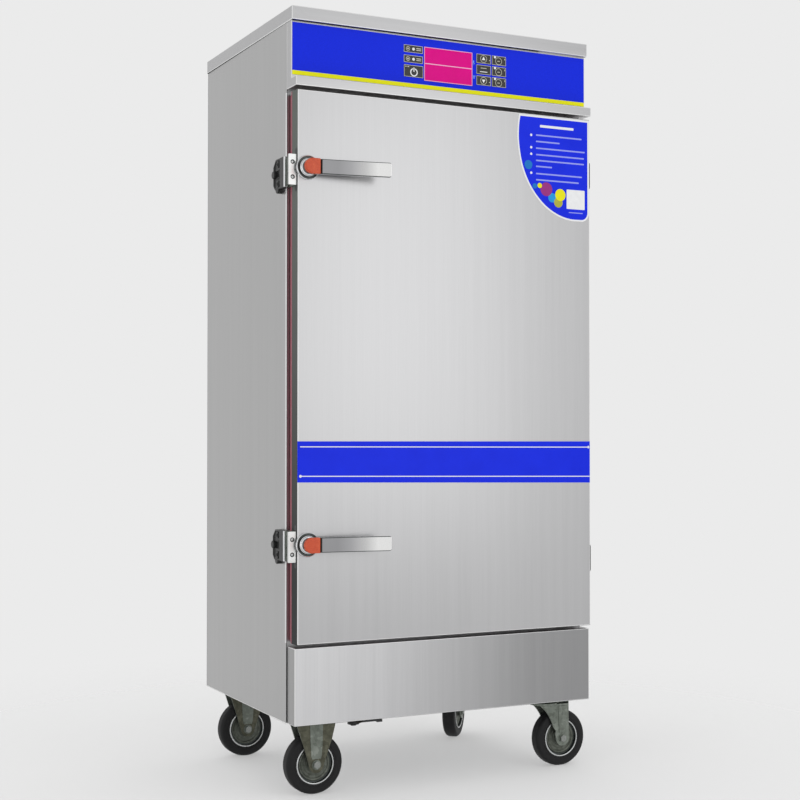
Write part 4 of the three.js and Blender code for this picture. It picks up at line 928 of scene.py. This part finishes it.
def addCasterPlate():
    length, width, thick = casterLook["plate"]
    top = casterLook["height"]
    parts = [addPlate("casterPlate", (-length / 2, -width / 2, top - thick), (length / 2, width / 2, top),
                      "z", 0.008, 5, 0.0006)]
    (x, y), (bolt, boltDrop), (washer, washerDrop) = [casterLook[key] for key in ("boltPlace", "bolt", "washer")]
    seat = top - thick
    for spot in ((x, y, 0), (x, -y, 0), (-x, y, 0), (-x, -y, 0)):
        head = addRod("casterPlate", "z", bolt, seat - boltDrop, seat + 0.0002, spot, 6)
        parts += [roundEdges(head, 0.0004, 2, 50),
                  addRod("casterPlate", "z", washer, seat - washerDrop, seat + 0.0002, spot, 28)]
    return parts


def legStations(profile, side):
    # Level, left and right of the leg, from top to bottom, as stations for extendEnd
    y = side * (casterLook["legGap"] + casterLook["leg"] / 2)
    return [(((left + right) / 2, y, level), (right - left, casterLook["leg"], 0)) for level, left, right in profile]


def roundEye(centre):
    eye, level = casterLook["eye"], casterLook["axle"]
    angles = [radians(a) for a in (0, 15, 30, 45, 58, 70, 80)]
    return [(level - eye * sin(a), centre - eye * cos(a), centre + eye * cos(a)) for a in angles]


def addLeg(profile, side, band):
    inner, outer = casterLook["legGap"], casterLook["legGap"] + casterLook["leg"]
    near, far = sorted((side * inner, side * outer))
    top, left, right = profile[0]
    leg = addBlock("forkLeg", (left, near, top - 0.001), (right, far, top))
    extendEnd(leg, "z", -1, legStations(profile[1:], side))
    # The pressed band down the middle of the leg
    sunk, raised = casterLook["band"]
    lowY, highY = sorted((side * outer - side * sunk, side * outer + side * raised))
    top, left, right = band[0]
    rib = addBlock("forkLeg", (left, lowY, top - 0.001), (right, highY, top))
    middle, thick = (lowY + highY) / 2, abs(highY - lowY)
    extendEnd(rib, "z", -1, [(((l + r) / 2, middle, z), (r - l, thick, 0)) for z, l, r in band[1:]])
    return [roundEdges(leg, 0.0007, 2, 50), roundEdges(rib, 0.0009, 3, 30)]


def addAxle(x):
    level, outer = casterLook["axle"], casterLook["legGap"] + casterLook["leg"]
    centre = (x, 0, level)
    radius, reach = casterLook["shaft"]
    parts = [addRod("axleBolt", "y", radius, -outer - reach, outer + reach, centre, 24)]
    wide, thick = casterLook["axleWasher"]
    size, seat, end = casterLook["nut"]
    tip, tipEnd = casterLook["nutEnd"]
    for side in (1, -1):
        low, high = sorted((side * outer, side * (outer + thick)))
        parts.append(roundEdges(addRod("axleBolt", "y", wide, low, high, centre, 32), 0.0003))
        low, high = sorted((side * (outer + seat), side * (outer + end)))
        parts.append(addRod("axleBolt", "y", size, low, high, centre, 6))
        stepEnd(parts[-1], "y", side, (size, side * (outer + end)), [(tip, side * (outer + tipEnd))], centre)
    return parts


def addLegs(name, parts, profile, band):
    for side in (1, -1):
        parts += addLeg(profile, side, band)
    return joinPieces(parts, name)


def addRigidFork():
    top = casterLook["height"] - casterLook["plate"][2]
    profile = [(top, -0.044, 0.044), (0.138, -0.0405, 0.0415), (0.112, -0.032, 0.035), (0.088, -0.0243, 0.0262)]
    halves = (top - 0.004, 0.0145), (0.105, 0.0135), (0.080, 0.0115), (0.0735, 0.0095)
    band = [(z, -half, half) for z, half in halves]
    yoke = roundEdges(addBlock("rigidFork", (-0.044, -0.021, top - 0.004), (0.044, 0.021, top)), 0.0012, 3)
    return addLegs("rigidFork", [yoke] + addCasterPlate() + addAxle(0), profile + roundEye(0), band)


def paintFork(fork, matrix, trail):
    # The nuts are brighter than the fork, and the rigid forks' flanks get painted shade
    face = casterLook["legGap"] + casterLook["leg"]

    def onAxle(part):
        spot = matrix.inverted() @ part.center
        return Vector((spot.x - trail, spot.z - casterLook["axle"])).length < 0.0074 and abs(spot.y) > face + 0.0013
    facing = matrix.to_3x3().inverted()

    def onFlank(part):
        spot, normal = matrix.inverted() @ part.center, facing @ part.normal
        return abs(normal.y) > 0.7 and abs(abs(spot.y) - face) < 0.0002
    if not trail:
        paintFaces(fork, galvanisedFlankShade, onFlank)
    paintFaces(fork, dulledZinc, onAxle)


raceLook = {"race": (0.030, 0.1435, 0.1515), "lip": (0.0022, 0.0024), "crown": (0.032, 0.1372, 0.1432),
            "pin": (0.006, 0.1334), "head": (0.010, 0.1334, 0.1369), "trail": 0.038,
            "sweep": ((-0.030, 0.1432), (0.008, 0.1252), (0.021, casterLook["axle"])),
            "shares": (0.08, 0.16, 0.24, 0.32, 0.42, 0.52, 0.64, 0.78, 0.92), "heel": (0.0795, 0.0204), "rear": 0.054}


def addSwivelPlate():
    radius, low, high = raceLook["race"]
    race = addRod("swivelPlate", "z", radius, low + 0.002, high, (0, 0, 0), 48)
    stepEnd(race, "z", -1, (radius, low + 0.002), [(radius - 0.0006, low + 0.0008), (radius - 0.002, low)], (0, 0, 0))
    wider, deep = raceLook["lip"]
    lip = addRod("swivelPlate", "z", radius + wider, high - deep, high, (0, 0, 0), 48)
    pin = addRod("swivelPlate", "z", *raceLook["pin"], low + 0.001, (0, 0, 0), 24)
    head = addRod("swivelPlate", "z", *raceLook["head"], (0, 0, 0), 6)
    return joinPieces([race, roundEdges(lip, 0.0009, 3), pin, roundEdges(head, 0.0004, 2, 50)] + addCasterPlate(),
                      "swivelPlate")


def addSwivelFork():
    radius, low, high = raceLook["crown"]
    crown = addTurnedRing("swivelFork", "z", (0, 0, (low + high) / 2), (radius, 0.0018),
                          [(radius - 0.0006, 0.0026), (radius - 0.0018, 0.0030), (0.0063, 0.0030)], 48)
    rear, top = raceLook["rear"], high - 0.0003
    shelf = roundEdges(addBlock("swivelFork", (0.012, -0.021, low), (rear, 0.021, top)), 0.0012, 3)
    start, bend, end = raceLook["sweep"]
    profile = [(top, start[0], rear), (*raceLook["heel"], rear)]
    for share in raceLook["shares"]:
        x, z = [curveAt((start[i], bend[i], end[i]), share) for i in (0, 1)]
        profile.append((z, x, rear))
    profile = sorted(profile, reverse=True) + roundEye(raceLook["trail"])
    band = [(0.134, 0.026, 0.047), (0.105, 0.0275, 0.0475), (0.084, 0.0285, 0.0475), (0.0745, 0.029, 0.047)]
    return addLegs("swivelFork", [crown, shelf] + addAxle(raceLook["trail"]), profile, band)


axlePlace = (0, 0, casterLook["axle"])
tyreMaster, hubMaster = [addTurnedRing(name, "y", axlePlace, look["start"], look["side"], sides)
                         for name, look, sides in (("tyre", tyreLook, 72), ("hub", hubLook, 56))]
rigidMaster, swivelMaster, plateMaster = addRigidFork(), addSwivelFork(), addSwivelPlate()
casterPlaces = [("left", "front", -0.283233, -0.17515, 0), ("left", "rear", -0.283233, 0.22485, 0),
                ("right", "front", 0.270767, -0.17515, 0), ("right", "rear", 0.270767, 0.22485, -131.6)]
for side, end, x, y, turn in casterPlaces:
    tag, key = side.capitalize() + end.capitalize(), side + "_" + end
    plateAt = Matrix.Translation((x, y, 0))
    turned = plateAt @ Matrix.Rotation(radians(turn), 4, "Z")
    trail = raceLook["trail"] if side == "right" else 0
    wheelAt = turned @ Matrix.Translation((trail, 0, 0))
    placeCopy(tyreMaster, "tyre" + tag, wheelAt, "wheel_" + key, tyreRubber, ["tyre_" + key])
    # The hub's disc is a darker copy of the zinc: painted shade
    hub = placeCopy(hubMaster, "hub" + tag, wheelAt, "wheel_" + key, galvanisedDiscShade, ["hub_" + key])
    axis, middle = wheelAt.to_3x3() @ Vector((0, 1, 0)), wheelAt @ Vector(axlePlace)

    def fromAxis(face):
        out = face.center - middle
        return (out - axis * out.dot(axis)).length
    # Painted shade in the hub's groove, and a painted highlight on its rim lip
    near, far = hubLook["groove"]
    paintFaces(hub, paintedShadeZinc, lambda face: near < fromAxis(face) < far)
    paintFaces(hub, brightZinc, lambda face: fromAxis(face) > hubLook["lip"])
    if trail:
        fork = placeCopy(swivelMaster, "swivelFork" + tag, turned, "swivel_" + end, galvanised,
                         ["swivel_fork_" + end])
        placeCopy(plateMaster, "swivelPlate" + tag, plateAt, "cabinet", galvanised,
                  ["swivel_plate_" + end])
    else:
        fork = placeCopy(rigidMaster, "rigidFork" + tag, turned, "cabinet", galvanised,
                         ["rigid_fork_" + end])
    paintFork(fork, turned, trail)
removeAll([tyreMaster, hubMaster, rigidMaster, swivelMaster, plateMaster])
print("casters made")


# Rear: louvre hoods, the panel's screws, the vent's bead and screws, hose barbs on the inlet, and the cable gland

louvreLook = {"count": 6, "first": 1.548, "pitch": 0.016, "half": 0.080, "below": 0.0042, "above": 0.0072,
              "proud": 0.0068, "sheet": 0.0010, "end": 0.006}
rearLook = {"inset": 0.012, "levels": (0.19, 0.42, 0.65, 0.88, 1.11, 1.34, 1.57), "across": (-0.17, 0.16),
            "fromTop": 0.03, "screw": 0.95}
(rearLeft, _, rearBottom), (rearRight, rearFace, rearTop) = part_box("rear_panel")
(ventLeft, _, ventBottom), (ventRight, ventEnd, ventTop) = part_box("steam_vent")
hoodMiddle = (ventLeft + ventRight) / 2


def addLouvreHood(level):
    # A wedge that slopes out from the panel to its open lower edge
    low, high = level - louvreLook["below"], level + louvreLook["above"]
    half, proud = louvreLook["half"], louvreLook["proud"]
    left, right = hoodMiddle - half, hoodMiddle + half
    hood = addBlock("louvreHood", (left, rearFace - 0.0004, low), (right, rearFace + proud, high))
    cutPlane(hood, (0, rearFace, high), (0, high - low, proud))
    for side in (-1, 1):
        cutPlane(hood, (hoodMiddle + side * half, rearFace, 0), (side * proud, louvreLook["end"], 0))
    startEdit(roundEdges(hood, 0.0006))
    pick(hood, "faces", faceLooks("z", -1))
    bpy.ops.mesh.inset(thickness=louvreLook["sheet"])
    extrudeBy((0, 0, louvreLook["below"]))
    bpy.ops.transform.resize(value=(0.97, 0.45, 1), center_override=(hoodMiddle, rearFace + 0.0008, level))
    endEdit()
    return hood


hoods = [addLouvreHood(louvreLook["first"] - i * louvreLook["pitch"]) for i in range(louvreLook["count"])]
finishPiece(joinPieces(hoods, "louvreHoods"), "cabinet", brushedAcross)
rearScrews = [(x, rearFace, z) for x in (rearLeft + rearLook["inset"], rearRight - rearLook["inset"])
              for z in rearLook["levels"]]
rearScrews += [(x, rearFace, z) for x in rearLook["across"]
               for z in (rearBottom + rearLook["inset"], rearTop - rearLook["fromTop"])]
placeScrews("rearPanelScrews", "cabinet", "+y", rearScrews, rearLook["screw"])

ventLook = {"bead": (0.0140, 0.0009), "beadSteps": [(0.0136, 0.0016), (0.0124, 0.0021), (0.0108, 0.0021)],
            "beadInset": 0.0022, "screwCircle": 0.0185, "flange": 0.003}
ventLevel = (ventBottom + ventTop) / 2
bead = addTurnedRing("ventBead", "y", (hoodMiddle, ventEnd - ventLook["beadInset"], ventLevel), ventLook["bead"],
                     ventLook["beadSteps"], 40)
finishPiece(bead, "cabinet", milledSteel)
ventScrews = [(hoodMiddle + ventLook["screwCircle"] * cos(radians(a)), rearFace + ventLook["flange"],
               ventLevel + ventLook["screwCircle"] * sin(radians(a))) for a in (90, 210, 330)]
placeScrews("ventScrews", "cabinet", "+y", ventScrews, 0.75)
inletLook = {"x": 0.283767, "z": 0.2896, "barbs": (0.006, 0.0110, 0.0160), "root": (0.0119, 0.0002)}
barbs = [addTurnedRing("inletBarb", "y", (inletLook["x"], rearFace + place, inletLook["z"]), inletLook["root"],
                       [(0.0106, 0.0003)], 36, [(0.0106, 0.0030)]) for place in inletLook["barbs"]]
finishPiece(joinPieces(barbs, "inletBarbs"), "cabinet", milledSteel)
gland = roundEdges(copyNode("cable_gland", "cableGland"), 0.0006)
finishPiece(gland, "cabinet", blackNylon, ["cable_gland"])
print("rear fittings made")


# Printed shapes: thin closed plates that face -y and lie on a front at the given y

inkLook = {"thickness": 0.00014, "dome": (0.0001, 0.00003), "barRound": 0.28}


def ink(piece, material):
    piece.data.materials.clear()
    piece.data.materials.append(material)
    return piece


def addInkBar(material, left, right, low, high, front):
    bar = addBlock("inkBar", (left, front - inkLook["thickness"], low), (right, front, high))
    return ink(bevelPicked(bar, min(right - left, high - low) * inkLook["barRound"], 3, edgeAlong("y")), material)


def addInkBars(rows, front):
    return [addInkBar(*row, front) for row in rows]


def addInkDot(material, x, z, radius, front, lift=0.0):
    y = front - inkLook["thickness"] - lift
    dot = addRod("inkDot", "y", radius, y, front, (x, 0, z), 28)
    stepEnd(dot, "y", -1, (radius, y), [(radius - inkLook["dome"][0], y - inkLook["dome"][1])], (x, 0, z))
    return ink(dot, material)


def addInkRing(material, x, z, outer, inner, front):
    half = inkLook["thickness"] / 2
    return ink(addTurnedRing("inkRing", "y", (x, front - half, z), (outer, half), [(inner, half)], 36), material)


def addInkFrame(material, left, right, low, high, border, front):
    shape = addBlock("inkFrame", (left, front - inkLook["thickness"], low), (right, front, high))
    return ink(boreThrough(shape, looksAlongY, border), material)


def addInkTriangle(material, x, z, radius, up, front):
    y = front - inkLook["thickness"]
    triangle = addRod("inkTriangle", "y", radius, y, front, (0, 0, 0), 3)
    triangle.data.transform(Matrix.Rotation(0 if up else pi, 4, "Y"))
    triangle.data.transform(Matrix.Translation((x, 0, z)))
    return ink(bevelPicked(triangle, radius * 0.08, 2, edgeAlong("y")), material)


# Control panel: seven keys, two indicator blocks and the display, with their printed marks

filmFront, keyFront, displayFront = -0.23615, -0.23695, -0.23675
markLook = {"border": 0.0008, "flange": 0.0012, "ring": (0.0080, 0.0071), "triangle": 0.0050, "lamp": 0.0027,
            "power": (0.0088, 0.0064), "powerGap": 0.0046, "soften": 0.0005}


def addKeyMarks(node):
    (left, _, low), (right, _, high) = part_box(node)
    x, z = (left + right) / 2, (low + high) / 2
    flange = markLook["flange"]  # the node's box takes in the flange behind the film
    marks = [addInkFrame(paleInk, left + flange, right - flange, low + flange, high - flange, markLook["border"],
                         keyFront)]
    if node in ("key_up", "key_down"):
        marks += [addInkRing(paleInk, x, z, *markLook["ring"], keyFront),
                  addInkTriangle(whiteInk, x, z, markLook["triangle"], node == "key_up", keyFront)]
        bars = [(paleInk, right - 0.0052, right - 0.0026, z - 0.0028, z - 0.0014)]
    elif node == "key_set":
        bars = [(paleInk, x - 0.0072, x + 0.0072, z + 0.0028, z + 0.0041),
                (whiteInk, x - 0.0090, x + 0.0090, z - 0.0052, z - 0.0036)]
    elif node == "key_power":
        # A ring that is open at the top, with an upright bar in the gap
        spot, half = x + 0.0008, markLook["powerGap"] / 2
        marks.append(addInkRing(whiteInk, spot, z - 0.0022, *markLook["power"], keyFront))
        gap = addBlock("gapCutter", (spot - half, keyFront - 0.001, z), (spot + half, keyFront + 0.001, high))
        cutWith(marks[-1], gap)
        bars = [(whiteInk, x - 0.0003, x + 0.0019, z - 0.0014, z + 0.0080),
                (paleInk, left + 0.0040, left + 0.0070, high - 0.0056, high - 0.0040),
                (paleInk, left + 0.0090, left + 0.0130, high - 0.0056, high - 0.0040)]
    else:
        marks += [addInkRing(paleInk, x - 0.0008, z - 0.0010, *markLook["ring"], keyFront),
                  addInkDot(whiteInk, left + 0.0086, high - 0.0040, markLook["lamp"], keyFront, 0.0001)]
        bars = [(paleInk, x - 0.0040, x + 0.0024, z - 0.0018, z - 0.0004),
                (paleInk, right - 0.0048, right - 0.0034, z + 0.0026, z + 0.0062)]
    return marks + addInkBars(bars, keyFront)


for node in ("key_up", "key_set", "key_down", "key_function_1", "key_function_2", "key_function_3", "key_power"):
    key = roundEdges(copyNode(node, node), markLook["soften"])
    parts = [ink(key, blackFilm)] + addKeyMarks(node)
    name = "".join(word.capitalize() for word in node.split("_"))
    finishPiece(joinPieces(parts, "panel" + name), node, None, [node])

indicatorLook = {"levels": (1.54275, 1.52145), "left": -0.1040, "right": -0.0600, "half": 0.0076, "proud": 0.0005,
                 "knob": (-0.0945, 0.0046, 0.0036, 0.0018), "lamp": (-0.0816, 0.0031), "bars": (-0.0750, -0.0638)}
for level in indicatorLook["levels"]:
    left, right, half = [indicatorLook[key] for key in ("left", "right", "half")]
    front = filmFront - indicatorLook["proud"]
    block = addBlock("indicatorBlock", (left, front, level - half), (right, filmFront, level + half))
    knob, outer, inner, dot = indicatorLook["knob"]
    lamp, lampRadius = indicatorLook["lamp"]
    parts = [ink(roundEdges(block, 0.0004), blackFilm),
             addInkFrame(paleInk, left, right, level - half, level + half, markLook["border"], front),
             addInkRing(paleInk, knob, level, outer, inner, front), addInkDot(paleInk, knob, level, dot, front),
             addInkDot(whiteInk, lamp, level, lampRadius, front, 0.0001)]
    parts += addInkBars([(paleInk, *indicatorLook["bars"], level + 0.0010, level + 0.0028),
                         (paleInk, *indicatorLook["bars"], level - 0.0026, level - 0.0010)], front)
    finishPiece(joinPieces(parts, "indicatorBlock"), "cabinet", None)

(left, _, low), (right, _, high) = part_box("display_window")
over = 0.0002  # how far the frame stands over the window's edge
displayMarks = [addInkFrame(pinkInk, left - over, right + over, low - over, high + over, 0.0013, displayFront),
                addInkBar(pinkInk, left + 0.0008, right - 0.0008, 1.51475, 1.51665, displayFront)]
finishPiece(joinPieces(displayMarks, "displayFrame"), "cabinet", None)
filmMarks = addInkBars([(skyInk, 0.0612, 0.0636, 1.5262, 1.5346), (skyInk, 0.0606, 0.0650, 1.5272, 1.5286),
                        (skyInk, 0.0600, 0.0682, 1.5012, 1.5022)], filmFront)
filmMarks.append(addInkFrame(skyInk, 0.0612, 0.0652, 1.4962, 1.5006, 0.0010, filmFront))
finishPiece(joinPieces(filmMarks, "filmMarks"), "cabinet", None)
print("control panel made")


# Door label: a printed vinyl sheet in the door's upper right corner, with plain dots and ruled lines

doorFront = -0.26115
labelLook = {
    "corner": (0.3377, 1.4246), "round": 0.020, "steps": 3, "border": 0.0036, "thickness": 0.0003,
    "curve": [(0.1603, 1.4246), (0.1571, 1.4069), (0.1559, 1.3896), (0.1557, 1.3724), (0.1574, 1.3537),
              (0.1608, 1.3333), (0.1657, 1.3139), (0.1727, 1.2955), (0.1816, 1.2778), (0.1924, 1.2613),
              (0.2046, 1.2466), (0.2187, 1.2330), (0.2347, 1.2214), (0.2526, 1.2120), (0.2709, 1.2056),
              (0.2894, 1.2020), (0.3050, 1.2014)],
    "bullet": (0.1902, 0.0027), "ruleHalf": 0.0016, "fieldCorner": 0.0015,
    "field": ((0.2800, 1.2276), (0.3266, 1.2699)), "caption": (0.2858, 0.3215, 1.2188, 1.2208),
    "title": (0.2124, 0.2981, 1.4000, 1.4054),
}
labelFront = doorFront - labelLook["thickness"]
dots = [(0.2434, 1.2492, 0.0102, cyanInk), (0.2283, 1.2667, 0.0150, purpleInk), (0.2587, 1.2398, 0.0110, oliveInk),
        (0.2639, 1.2566, 0.0132, yellowInk), (0.2115, 1.2738, 0.0056, yellowInk), (0.1831, 1.3169, 0.0098, tealInk),
        (0.1991, 1.2720, 0.0058, tealInk)]
bullets = (1.3818, 1.3551, 1.3409, 1.2999)
ruleLeft = 0.2023
rules = [(0.3188, 1.3825), (0.2621, 1.3688), (0.3270, 1.3542), (0.3249, 1.3402), (0.3249, 1.3276), (0.2426, 1.3148),
         (0.3196, 1.2991), (0.3113, 1.2857)]


def labelOutline():
    # A smooth line through the curve's points, then the round corner at its lower right
    curve = [Vector((x, 0, z)) for x, z in labelLook["curve"]]
    points = []
    for i in range(len(curve) - 1):
        before, a, b, after = curve[max(i - 1, 0)], curve[i], curve[i + 1], curve[min(i + 2, len(curve) - 1)]
        for step in range(labelLook["steps"]):
            t = step / labelLook["steps"]
            spot = (2 * a + (b - before) * t + (2 * before - 5 * a + 4 * b - after) * t ** 2
                    + (3 * a - before - 3 * b + after) * t ** 3) / 2
            points.append((spot.x, spot.z))
    radius, edge, lowest = labelLook["round"], labelLook["corner"][0], curve[-1].z
    for angle in range(-80, 1, 10):
        points.append((edge - radius + radius * cos(radians(angle)), lowest + radius + radius * sin(radians(angle))))
    return points


def addDoorLabel():
    right, top = labelLook["corner"]
    outline = labelOutline()
    lowest = min(z for x, z in outline)
    sheet = addBlock("doorLabel", (min(x for x, z in outline), labelFront, lowest), (right, doorFront, top))
    for (x, z), (nextX, nextZ) in zip(outline, outline[1:]):
        cutPlane(sheet, (x, 0, z), (nextZ - z, 0, x - nextX))
    startEdit(sheet)
    pick(sheet, "faces", faceLooks("y", -1))
    bpy.ops.mesh.inset(thickness=labelLook["border"])
    endEdit()
    ink(sheet, whiteInk)
    field = max((face for face in sheet.data.polygons if face.normal.y < -0.99), key=lambda face: face.area)
    sheet.data.materials.append(blueVinyl)
    field.material_index = 1
    return sheet


bulletX, bulletRadius = labelLook["bullet"]
half, thick = labelLook["ruleHalf"], inkLook["thickness"]
labelParts = [addDoorLabel()]
labelParts += [addInkDot(material, x, z, radius, labelFront, 0.00004 * i)
               for i, (x, z, radius, material) in enumerate(dots)]
labelParts += [addInkDot(whiteInk, bulletX, z, bulletRadius, labelFront) for z in bullets]
labelParts += addInkBars([(lilacInk, ruleLeft, right, z - half, z + half) for right, z in rules], labelFront)
labelParts += addInkBars([(lilacInk, *labelLook["caption"]), (whiteInk, *labelLook["title"])], labelFront)
(left, low), (right, high) = labelLook["field"]
square = addBlock("labelField", (left, labelFront - thick, low), (right, labelFront, high))
labelParts.append(ink(bevelPicked(square, labelLook["fieldCorner"], 3, edgeAlong("y")), whiteInk))
finishPiece(joinPieces(labelParts, "doorLabel"), "door", None)


# Banner: a blue vinyl strip across the door, wrapped round its folds, with two white lines

bannerLook = {"wrap": -0.2600, "proud": 0.00025, "top": ((-0.3522, 0.7229), (0.3398, 0.7197)),
              "bottom": ((-0.3522, 0.6413), (0.3398, 0.6298)),
              "lines": [(-0.3470, 0.7121, 0.3370, 0.7073), (-0.3470, 0.6534, 0.3385, 0.6434)], "line": 0.0019,
              "ends": [(0.3350, 0.7073), (-0.3462, 0.6534)], "end": 0.0028}


def addSlopedLine(left, leftZ, right, rightZ, front):
    thick, height = inkLook["thickness"], bannerLook["line"]
    low, high = leftZ - height / 2, leftZ + height / 2
    line = addBlock("bannerLine", (left, front - thick, low), (left + 0.001, front, high))
    extendEnd(line, "x", 1, [((right, front - thick / 2, rightZ), (0, thick, height))])
    return ink(line, whiteInk)


banner = copyNode("door_skin", "doorBanner")
foldEdges(banner, *doorFold)
for (x, z), (nextX, nextZ), up in ((*bannerLook["top"], 1), (*bannerLook["bottom"], -1)):
    cutPlane(banner, (x, 0, z), (up * (z - nextZ), 0, up * (nextX - x)))
cutPlane(banner, (0, bannerLook["wrap"], 0), (0, 1, 0))
startEdit(banner)
bpy.ops.mesh.select_all(action="SELECT")
bpy.ops.transform.shrink_fatten(value=bannerLook["proud"])
endEdit()
bannerFront = doorFront - bannerLook["proud"]
bannerParts = [ink(banner, blueVinyl)] + [addSlopedLine(*line, bannerFront) for line in bannerLook["lines"]]
bannerParts += [addInkDot(whiteInk, x, z, bannerLook["end"], bannerFront, 0.0001) for x, z in bannerLook["ends"]]
finishPiece(joinPieces(bannerParts, "doorBanner"), "door", None)
print("label and banner made")


# CAD nodes that stay as they are get their real finishes

keptFinishes = {
    milledSteel: ["chamber_liner", "tray_rack_left", "tray_rack_right", "water_tank", "tank_cover", "heating_element",
                  "float_box", "float", "base_pan", "steam_vent"],
    mineralWool: ["insulation"],
    circuitBoard: ["control_board"],
    controlPolyester: ["control_film"],
    magentaAcrylic: ["display_window"],
    agedBrass: ["drain_valve"],
    blackNylon: ["drain_lever"],
}
for material, names in keptFinishes.items():
    for name in names:
        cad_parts[name].material_slots[0].material = material
print("CAD nodes finished")


# Camera, floor and studio light

cameraPlace = {"place": (-1.4814, -3.01505, 0.7532), "pitch": 91.0056, "turn": -26.219, "lens": 67.1355}
clearSelection()
bpy.ops.object.camera_add(
    location=cameraPlace["place"], rotation=(radians(cameraPlace["pitch"]), 0, radians(cameraPlace["turn"])))
camera = bpy.context.object
camera.data.lens = cameraPlace["lens"]
camera.data.sensor_width = 36
bpy.context.scene.camera = camera

studio = {
    "world": "#EBEBEB", "floor": "#FAFAFA", "floorRadius": 3.0, "fade": {1: 0.55, 2: 1.7, 3: 0.4, 4: 1.0},
    # Each light's place, the point it looks at, its size and its power
    "lights": {"softBoxFront": ((0.95, -2.6, 1.30), (-0.1, -0.26, 1.12), (1.0, 1.9), 6),
               "softBoxLeft": ((-2.7, -1.25, 0.9), (-0.35, -0.26, 0.9), (0.35, 2.0), 3)},
}
for name, (place, aim, size, power) in studio["lights"].items():
    clearSelection()
    bpy.ops.object.light_add(type="AREA", location=place)
    lamp = bpy.context.object
    lamp.name = name
    lamp.data.shape = "RECTANGLE"
    lamp.data.size, lamp.data.size_y = size
    lamp.data.energy = power
    lamp.rotation_euler = (Vector(aim) - Vector(place)).to_track_quat("-Z", "Y").to_euler()

world = bpy.data.worlds.new("paleStudio")
bpy.context.scene.world = world
world.use_nodes = True
sky = world.node_tree.nodes["Background"]
sky.inputs["Color"].default_value = toLinear(studio["world"])
sky.inputs["Strength"].default_value = 1.0

clearSelection()
bpy.ops.mesh.primitive_circle_add(vertices=96, radius=studio["floorRadius"], fill_type="NGON", location=(0, 0, 0))
floor = bpy.context.object
floor.name = "studioFloor"
# Pale paint, seen only near the cabinet, where it takes the shadow; it fades into the background's colour.
floorLook = {"Base Color": studio["floor"], "Roughness": 0.95}
floorMaterial, tree, shader, place = startMaterial("palePaintedFloor", floorLook)
away = addNode(tree, "VectorMath", {"operation": "LENGTH"}, {0: place})
fade = addNode(tree, "MapRange", studio["fade"], {0: away.outputs["Value"]})
clear = addNode(tree, "BsdfTransparent")
blend = addNode(tree, "MixShader", {}, {0: fade, 1: shader, 2: clear})
tree.links.new(blend.outputs[0], tree.nodes["Material Output"].inputs["Surface"])
floor.data.materials.append(floorMaterial)
bpy.context.scene.view_settings.view_transform = "Standard"
print("studio made")
removeAll([screwMaster])
